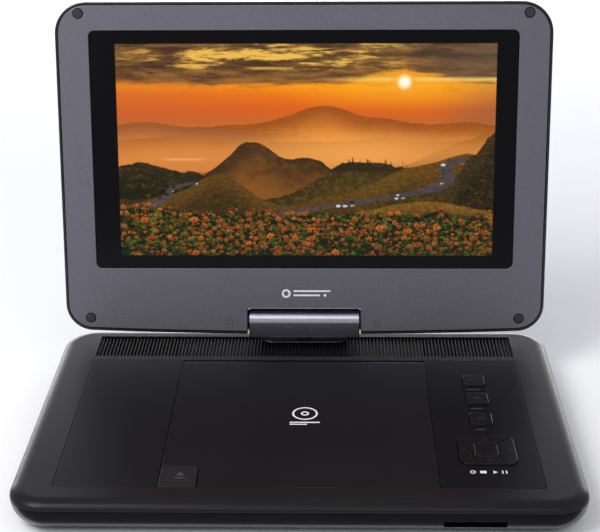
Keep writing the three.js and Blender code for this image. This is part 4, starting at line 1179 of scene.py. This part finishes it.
def lid_outline(k=0.0, notch=None, n=14, nb=40):
    rt, rb, x, t = 18 - k, 16 - k, LID_HW - k, LID_TOP - k
    b = LID_BOT + LID_SAG + k
    X0 = x - rb
    xs = [-X0 + 2 * X0 * i / nb for i in range(nb + 1)]
    pts = []
    if notch:
        w, h, r = notch
        ls = [q for q in xs if q < -w - 0.5] + [-w]
        pts += [(q, lid_bottom(q, k)) for q in ls]
        pts += arc(-w + r, h - r, r, 180, 90, 5) + arc(w - r, h - r, r, 90, 0, 5)
        pts += [(q, lid_bottom(q, k)) for q in [w] + [q for q in xs if q > w + 0.5]]
    else:
        pts += [(q, lid_bottom(q, k)) for q in xs]
    pts += arc(x - rb, b + rb, rb, 270, 360, n)[1:] + arc(x - rt, t - rt, rt, 0, 90, n) + arc(-x + rt, t - rt, rt, 90, 180, n) + arc(-x + rb, b + rb, rb, 180, 270, n)[:-1]
    return clean(pts)


def make_lid_shell():
    rows = []
    n = 12
    for i in range(n + 1):
        a = math.pi / 2 * i / n
        rows.append((5 * (1 - math.sin(a)), LID_BACK + 4 * (1 - math.cos(a))))
    rows += [(0.0, LID_FRONT - 0.75)] + [(0.75 * (1 - math.cos(math.pi / 2 * i / 4)), LID_FRONT - 0.75 + 0.75 * math.sin(math.pi / 2 * i / 4)) for i in range(1, 5)]
    rings = [[(a, b, z) for a, b in lid_outline(k)] for k, z in rows]
    ob = raw_object("screen_rear_case", loft(rings))
    inner_rows = [(RIM + 4, LID_BACK + 1.8), (RIM + 1.2, LID_BACK + 2.6), (RIM, LID_BACK + 4.8), (RIM, 30)]
    cav = raw_object("cav", loft([[(a, b, z) for a, b in lid_outline(k, n=8)] for k, z in inner_rows]))
    cut(cav, [bx(-NOTCH_HW - 1.9, NOTCH_HW + 1.9, -40, NOTCH_U + 1.9, -40, LID_FRONT - 2.3)])
    cut(ob, [cav, bx(-NOTCH_HW, NOTCH_HW, -40, NOTCH_U, -40, 40), cyl("x", 2.4, -60, 60, 0, 0, 28)])
    # a shallow styling groove across the back
    cut(ob, [slab(rrect(-118, 118, 120.0, 120.9, 0.3, 3), [], LID_BACK - 2, LID_BACK + 0.45, top=0.05, bottom=0.05, seg=1)])
    soften(ob, 0.2, 2, 42)
    to_world(ob, lid_xf)
    return finish_piece(ob, M["back"], "screen", ["lid_rear_shell"])


make_lid_shell()

PLUGS = [("top_left", -128.1, 182.2), ("top_right", 128.1, 182.2), ("bottom_left", -127.2, 3.0), ("bottom_right", 127.2, 3.0)]
win = rrect(-WIN_W / 2, WIN_W / 2, WIN_U0, WIN_U0 + WIN_H, 3.5, 8)
holes = [win] + [circle(x, u, 3.0, 40) for _, x, u in PLUGS]
m = slab(lid_outline(RIM + GAP, (NOTCH_HW + 0.02, NOTCH_U + 0.02, 0.9)), holes, LID_FRONT - 2, LID_FRONT, top=0.42, bottom=0.15, seg=4, hole_top=0.34)
piece("screen_bezel", m, lid_xf, M["bezel"], "screen", ["lid_bezel"])

for nm, x, u in PLUGS:
    m = lathe([(0, 6.9), (2.6, 6.9), (2.65, 7.0), (2.65, 8.75), (2.55, 9.02), (2.3, 9.2), (1.9, 9.26), (1.2, 9.2), (0.6, 9.17), (0, 9.16)], 40, x, u)
    piece("plug_" + nm, m, lid_xf, M["plug"], "screen", ["screw_plug_" + nm])

A_X0, A_X1, A_U0, A_U1 = 1.29 - 109.0, 1.29 + 109.0, 41.3, 165.0      # lit area
m = slab(rrect(-WIN_W / 2 + GAP, WIN_W / 2 - GAP, WIN_U0 + GAP, WIN_U0 + WIN_H - GAP, 3.2, 8), [], 7.0, 8.1, top=0.15, bottom=0.1, seg=2)
piece("screen_window_glass", m, lid_xf, M["screen"], "screen", ["screen_window"],
      uv=lambda p: ((p[0] - A_X0) / (A_X1 - A_X0), (p[1] - A_U0) / (A_U1 - A_U0)))

# ------------------------------------------------------------------ inner parts keep their CAD shape, with their own finishes
CARRY = {"battery_pack": "wrap", "key_board": "pcb", "speaker_left": "cone", "speaker_right": "cone", "latch_slider": "acetal",
         "drive_chassis": "steel", "guide_rod_left": "steel", "guide_rod_right": "steel", "spindle_motor": "steel", "spindle_hub": "well",
         "pickup_sled": "acetal", "feed_screw": "steel", "sled_motor": "alu", "main_board": "pcb", "card_socket": "alu",
         "dc_jack": "well", "av_jack": "well", "headphone_jack": "well", "power_switch": "key", "volume_wheel": "key",
         "swivel_post": "steel", "tilt_shaft": "steel", "lcd_panel": "alu", "lcd_board": "pcb",
         "hinge_bracket_left": "steel", "hinge_bracket_right": "steel"}
for nm, k in CARRY.items():
    ob = NODES[nm]
    ob.data.materials.clear()
    ob.data.materials.append(M[k])

# ------------------------------------------------------------------ printed marks and small trims
def bar(x0, x1, y0, y1, r=0.2):
    return rrect(x0, x1, y0, y1, r, 3)


def ring_mark(cx, cy, ro, ri, n=28):
    return [circle(cx, cy, ro, n), circle(cx, cy, ri, n)]


def tri(cx, cy, s, deg):
    return round_corners([(cx + s * math.cos(math.radians(deg + k)), cy + s * math.sin(math.radians(deg + k))) for k in (0, 120, 240)], s * 0.12, 2)


TOP = DECK_Z - 0.012
# a plain ring and bar under the picture
print_mark("bezel_print", [ring_mark(-10.6, 18.2, 2.6, 1.5), bar(-6.2, 15.6, 19.2, 20.2), bar(-6.2, 9.4, 16.6, 17.6), circle(12.4, 17.1, 0.8, 16)],
           LID_FRONT, M["ink"], "screen", 0.03, lid_xf)
# a disc drawing on the lid
print_mark("disc_lid_print", [ring_mark(2.0, -7.2, 7.0, 5.9, 44), ring_mark(2.0, -7.2, 2.3, 1.2, 28), bar(-6.1, 10.1, -17.6, -16.4), bar(-6.1, 3.4, -19.6, -18.6)],
           DECK_Z, M["ink"], "disc_lid", 0.03)
# eject sign on the button
print_mark("open_button_print", [tri(-59.6, -70.6, 2.6, 90), bar(-62.4, -56.8, -74.6, -73.6)],
           DECK_Z, M["ink_dim"], "open_button", 0.03)
for i, y in enumerate((21.2, -0.9, -24.0)):
    print_mark(f"key_legend_{i + 1}", [bar(91.6 + i * 0.6, 99.6 - i * 0.8, y - 0.5, y + 0.5)], DECK_Z, M["ink_dim"], "base", 0.02)
KT = KEY_TOP
print_mark("key_sign_1", [tri(KEY_X - 1.4, KEY_Y[0], 1.9, 0), bar(KEY_X + 1.3, KEY_X + 2.1, KEY_Y[0] - 1.6, KEY_Y[0] + 1.6)], KT, M["ink_dark"], "key_1", 0.02)
print_mark("key_sign_2", [bar(KEY_X - 1.7, KEY_X + 1.7, KEY_Y[1] - 1.7, KEY_Y[1] + 1.7, 0.3)], KT, M["ink_dark"], "key_2", 0.02)
print_mark("key_sign_3", [bar(KEY_X - 2.4, KEY_X + 2.4, KEY_Y[2] + d - 0.35, KEY_Y[2] + d + 0.35) for d in (-1.4, 0.0, 1.4)], KT, M["ink_dark"], "key_3", 0.02)
for nm, dx, dy, deg in (("up", 0, 10.6, 90), ("down", 0, -10.9, 270), ("left", -12.2, 0, 180), ("right", 12.4, 0, 0)):
    print_mark(f"direction_sign_{nm}", [tri(KEY_X + dx, PAD_Y + dy, 1.5, deg)], KT, M["ink_dark"], f"key_{nm}", 0.02)
# a row of small plain signs in front of the direction keys
print_mark("deck_print_row", [ring_mark(87.6, -67.2, 1.5, 0.9, 20), bar(91.2, 94.4, -68.4, -66.0), tri(98.6, -67.2, 1.6, 0), bar(102.2, 102.9, -68.7, -65.7), bar(104.1, 104.8, -68.7, -65.7)],
           DECK_Z, M["ink"], "base", 0.03)
# painted highlight: a thin bright metallic strip along the hinge notch's top edge stands in for the bright edge line
# seen there; and two flush plugs beside it
t = slab(rrect(-NOTCH_HW + 0.9, NOTCH_HW - 0.9, NOTCH_U + 0.06, NOTCH_U + 0.42, 0.12, 3), [], LID_FRONT - 0.2, LID_FRONT + 0.03, top=0.03, bottom=0.02, seg=2)
piece("notch_highlight_strip", t, lid_xf, M["barrel"], "screen")
for nm, x, u in (("left", -44.2, 0.6), ("right", 43.3, -0.4)):
    t = slab(circle(x, u, 1.55, 32), [], LID_FRONT - 0.2, LID_FRONT + 0.03, top=0.06, bottom=0.02, seg=2)
    piece(f"bezel_plug_{nm}", t, lid_xf, M["bezel"], "screen")
    t = slab(circle(x, u, 1.85, 32), [circle(x, u, 1.56, 32)], LID_FRONT - 0.2, LID_FRONT + 0.008, top=0.02, bottom=0.02, seg=1)
    piece(f"bezel_plug_ring_{nm}", t, lid_xf, M["rubber"], "screen")


# ------------------------------------------------------------------ stage, lights, camera
fm = Tree("pale_studio_floor")
c = fm.coords()
f = fm.noise(c, 3.0, 3.0, 0.5)
fm.principled(Base_Color=fm.mix(f, (0.86, 0.86, 0.87, 1), (0.89, 0.89, 0.90, 1)), Roughness=fm.remap(f, 0.3, 0.7, 0.6, 0.7))
floor = raw_object("studio_floor", Mesh().add([(-6000, -6000, 0), (6000, -6000, 0), (6000, 6000, 0), (-6000, 6000, 0)], [(0, 1, 2, 3)]), lambda p: p / 1000.0)
floor.data.materials.append(fm.m)

world = bpy.data.worlds.new("studio")
bpy.context.scene.world = world
world.use_nodes = True
bg = world.node_tree.nodes["Background"]
bg.inputs[0].default_value = (0.93, 0.95, 1.0, 1)
bg.inputs[1].default_value = 0.55


def area(name, loc, target, size, energy, colour=(1, 1, 1), size_y=None):
    ld = bpy.data.lights.new(name, "AREA")
    ld.shape = "RECTANGLE"
    ld.size, ld.size_y, ld.energy, ld.color = size, size_y or size, energy, colour
    ob = bpy.data.objects.new(name, ld)
    bpy.context.scene.collection.objects.link(ob)
    ob.location = loc
    d = Vector(target) - Vector(loc)
    ob.rotation_euler = d.to_track_quat("-Z", "Y").to_euler()
    return ob


area("key_softbox", (-0.55, -0.42, 0.86), (-0.06, 0.05, 0.17), 0.45, 7.6, (1.0, 0.99, 0.975), 0.6)
area("front_softbox", (-0.15, -1.45, 1.42), (0, 0.05, 0.05), 2.0, 5.5, (0.98, 0.985, 1.0), 0.5)
area("right_softbox", (1.5, -0.4, 0.9), (0, 0, 0.08), 0.8, 1.5, (0.93, 0.95, 1.0), 0.8)
area("rear_softbox", (0.0, 1.5, 0.22), (0, 0.0, 0.0), 2.8, 17.0, (0.97, 0.96, 1.0), 0.36)

cam_data = bpy.data.cameras.new("camera")
cam = bpy.data.objects.new("camera", cam_data)
bpy.context.scene.collection.objects.link(cam)
cam_data.sensor_width, cam_data.sensor_fit, cam_data.lens = 36.0, "HORIZONTAL", 1430 / 600 * 36
cam_data.clip_start, cam_data.clip_end = 0.01, 50
th, yaw, roll = math.radians(22.94), math.radians(-1.41), math.radians(-0.47)
fw = Vector((math.sin(yaw) * math.cos(th), math.cos(yaw) * math.cos(th), -math.sin(th)))
rt = Vector((math.cos(yaw), -math.sin(yaw), 0))
up = rt.cross(fw)
r2 = math.cos(roll) * rt + math.sin(roll) * up
u2 = -math.sin(roll) * rt + math.cos(roll) * up
pos = Vector((0.01677, (-690.54 + SY) / 1000, 0.39622))
cam.matrix_world = Matrix(((r2.x, u2.x, -fw.x, pos.x), (r2.y, u2.y, -fw.y, pos.y), (r2.z, u2.z, -fw.z, pos.z), (0, 0, 0, 1)))
bpy.context.scene.camera = cam
bpy.context.scene.view_settings.view_transform = "Standard"
bpy.context.scene.view_settings.look = "None"
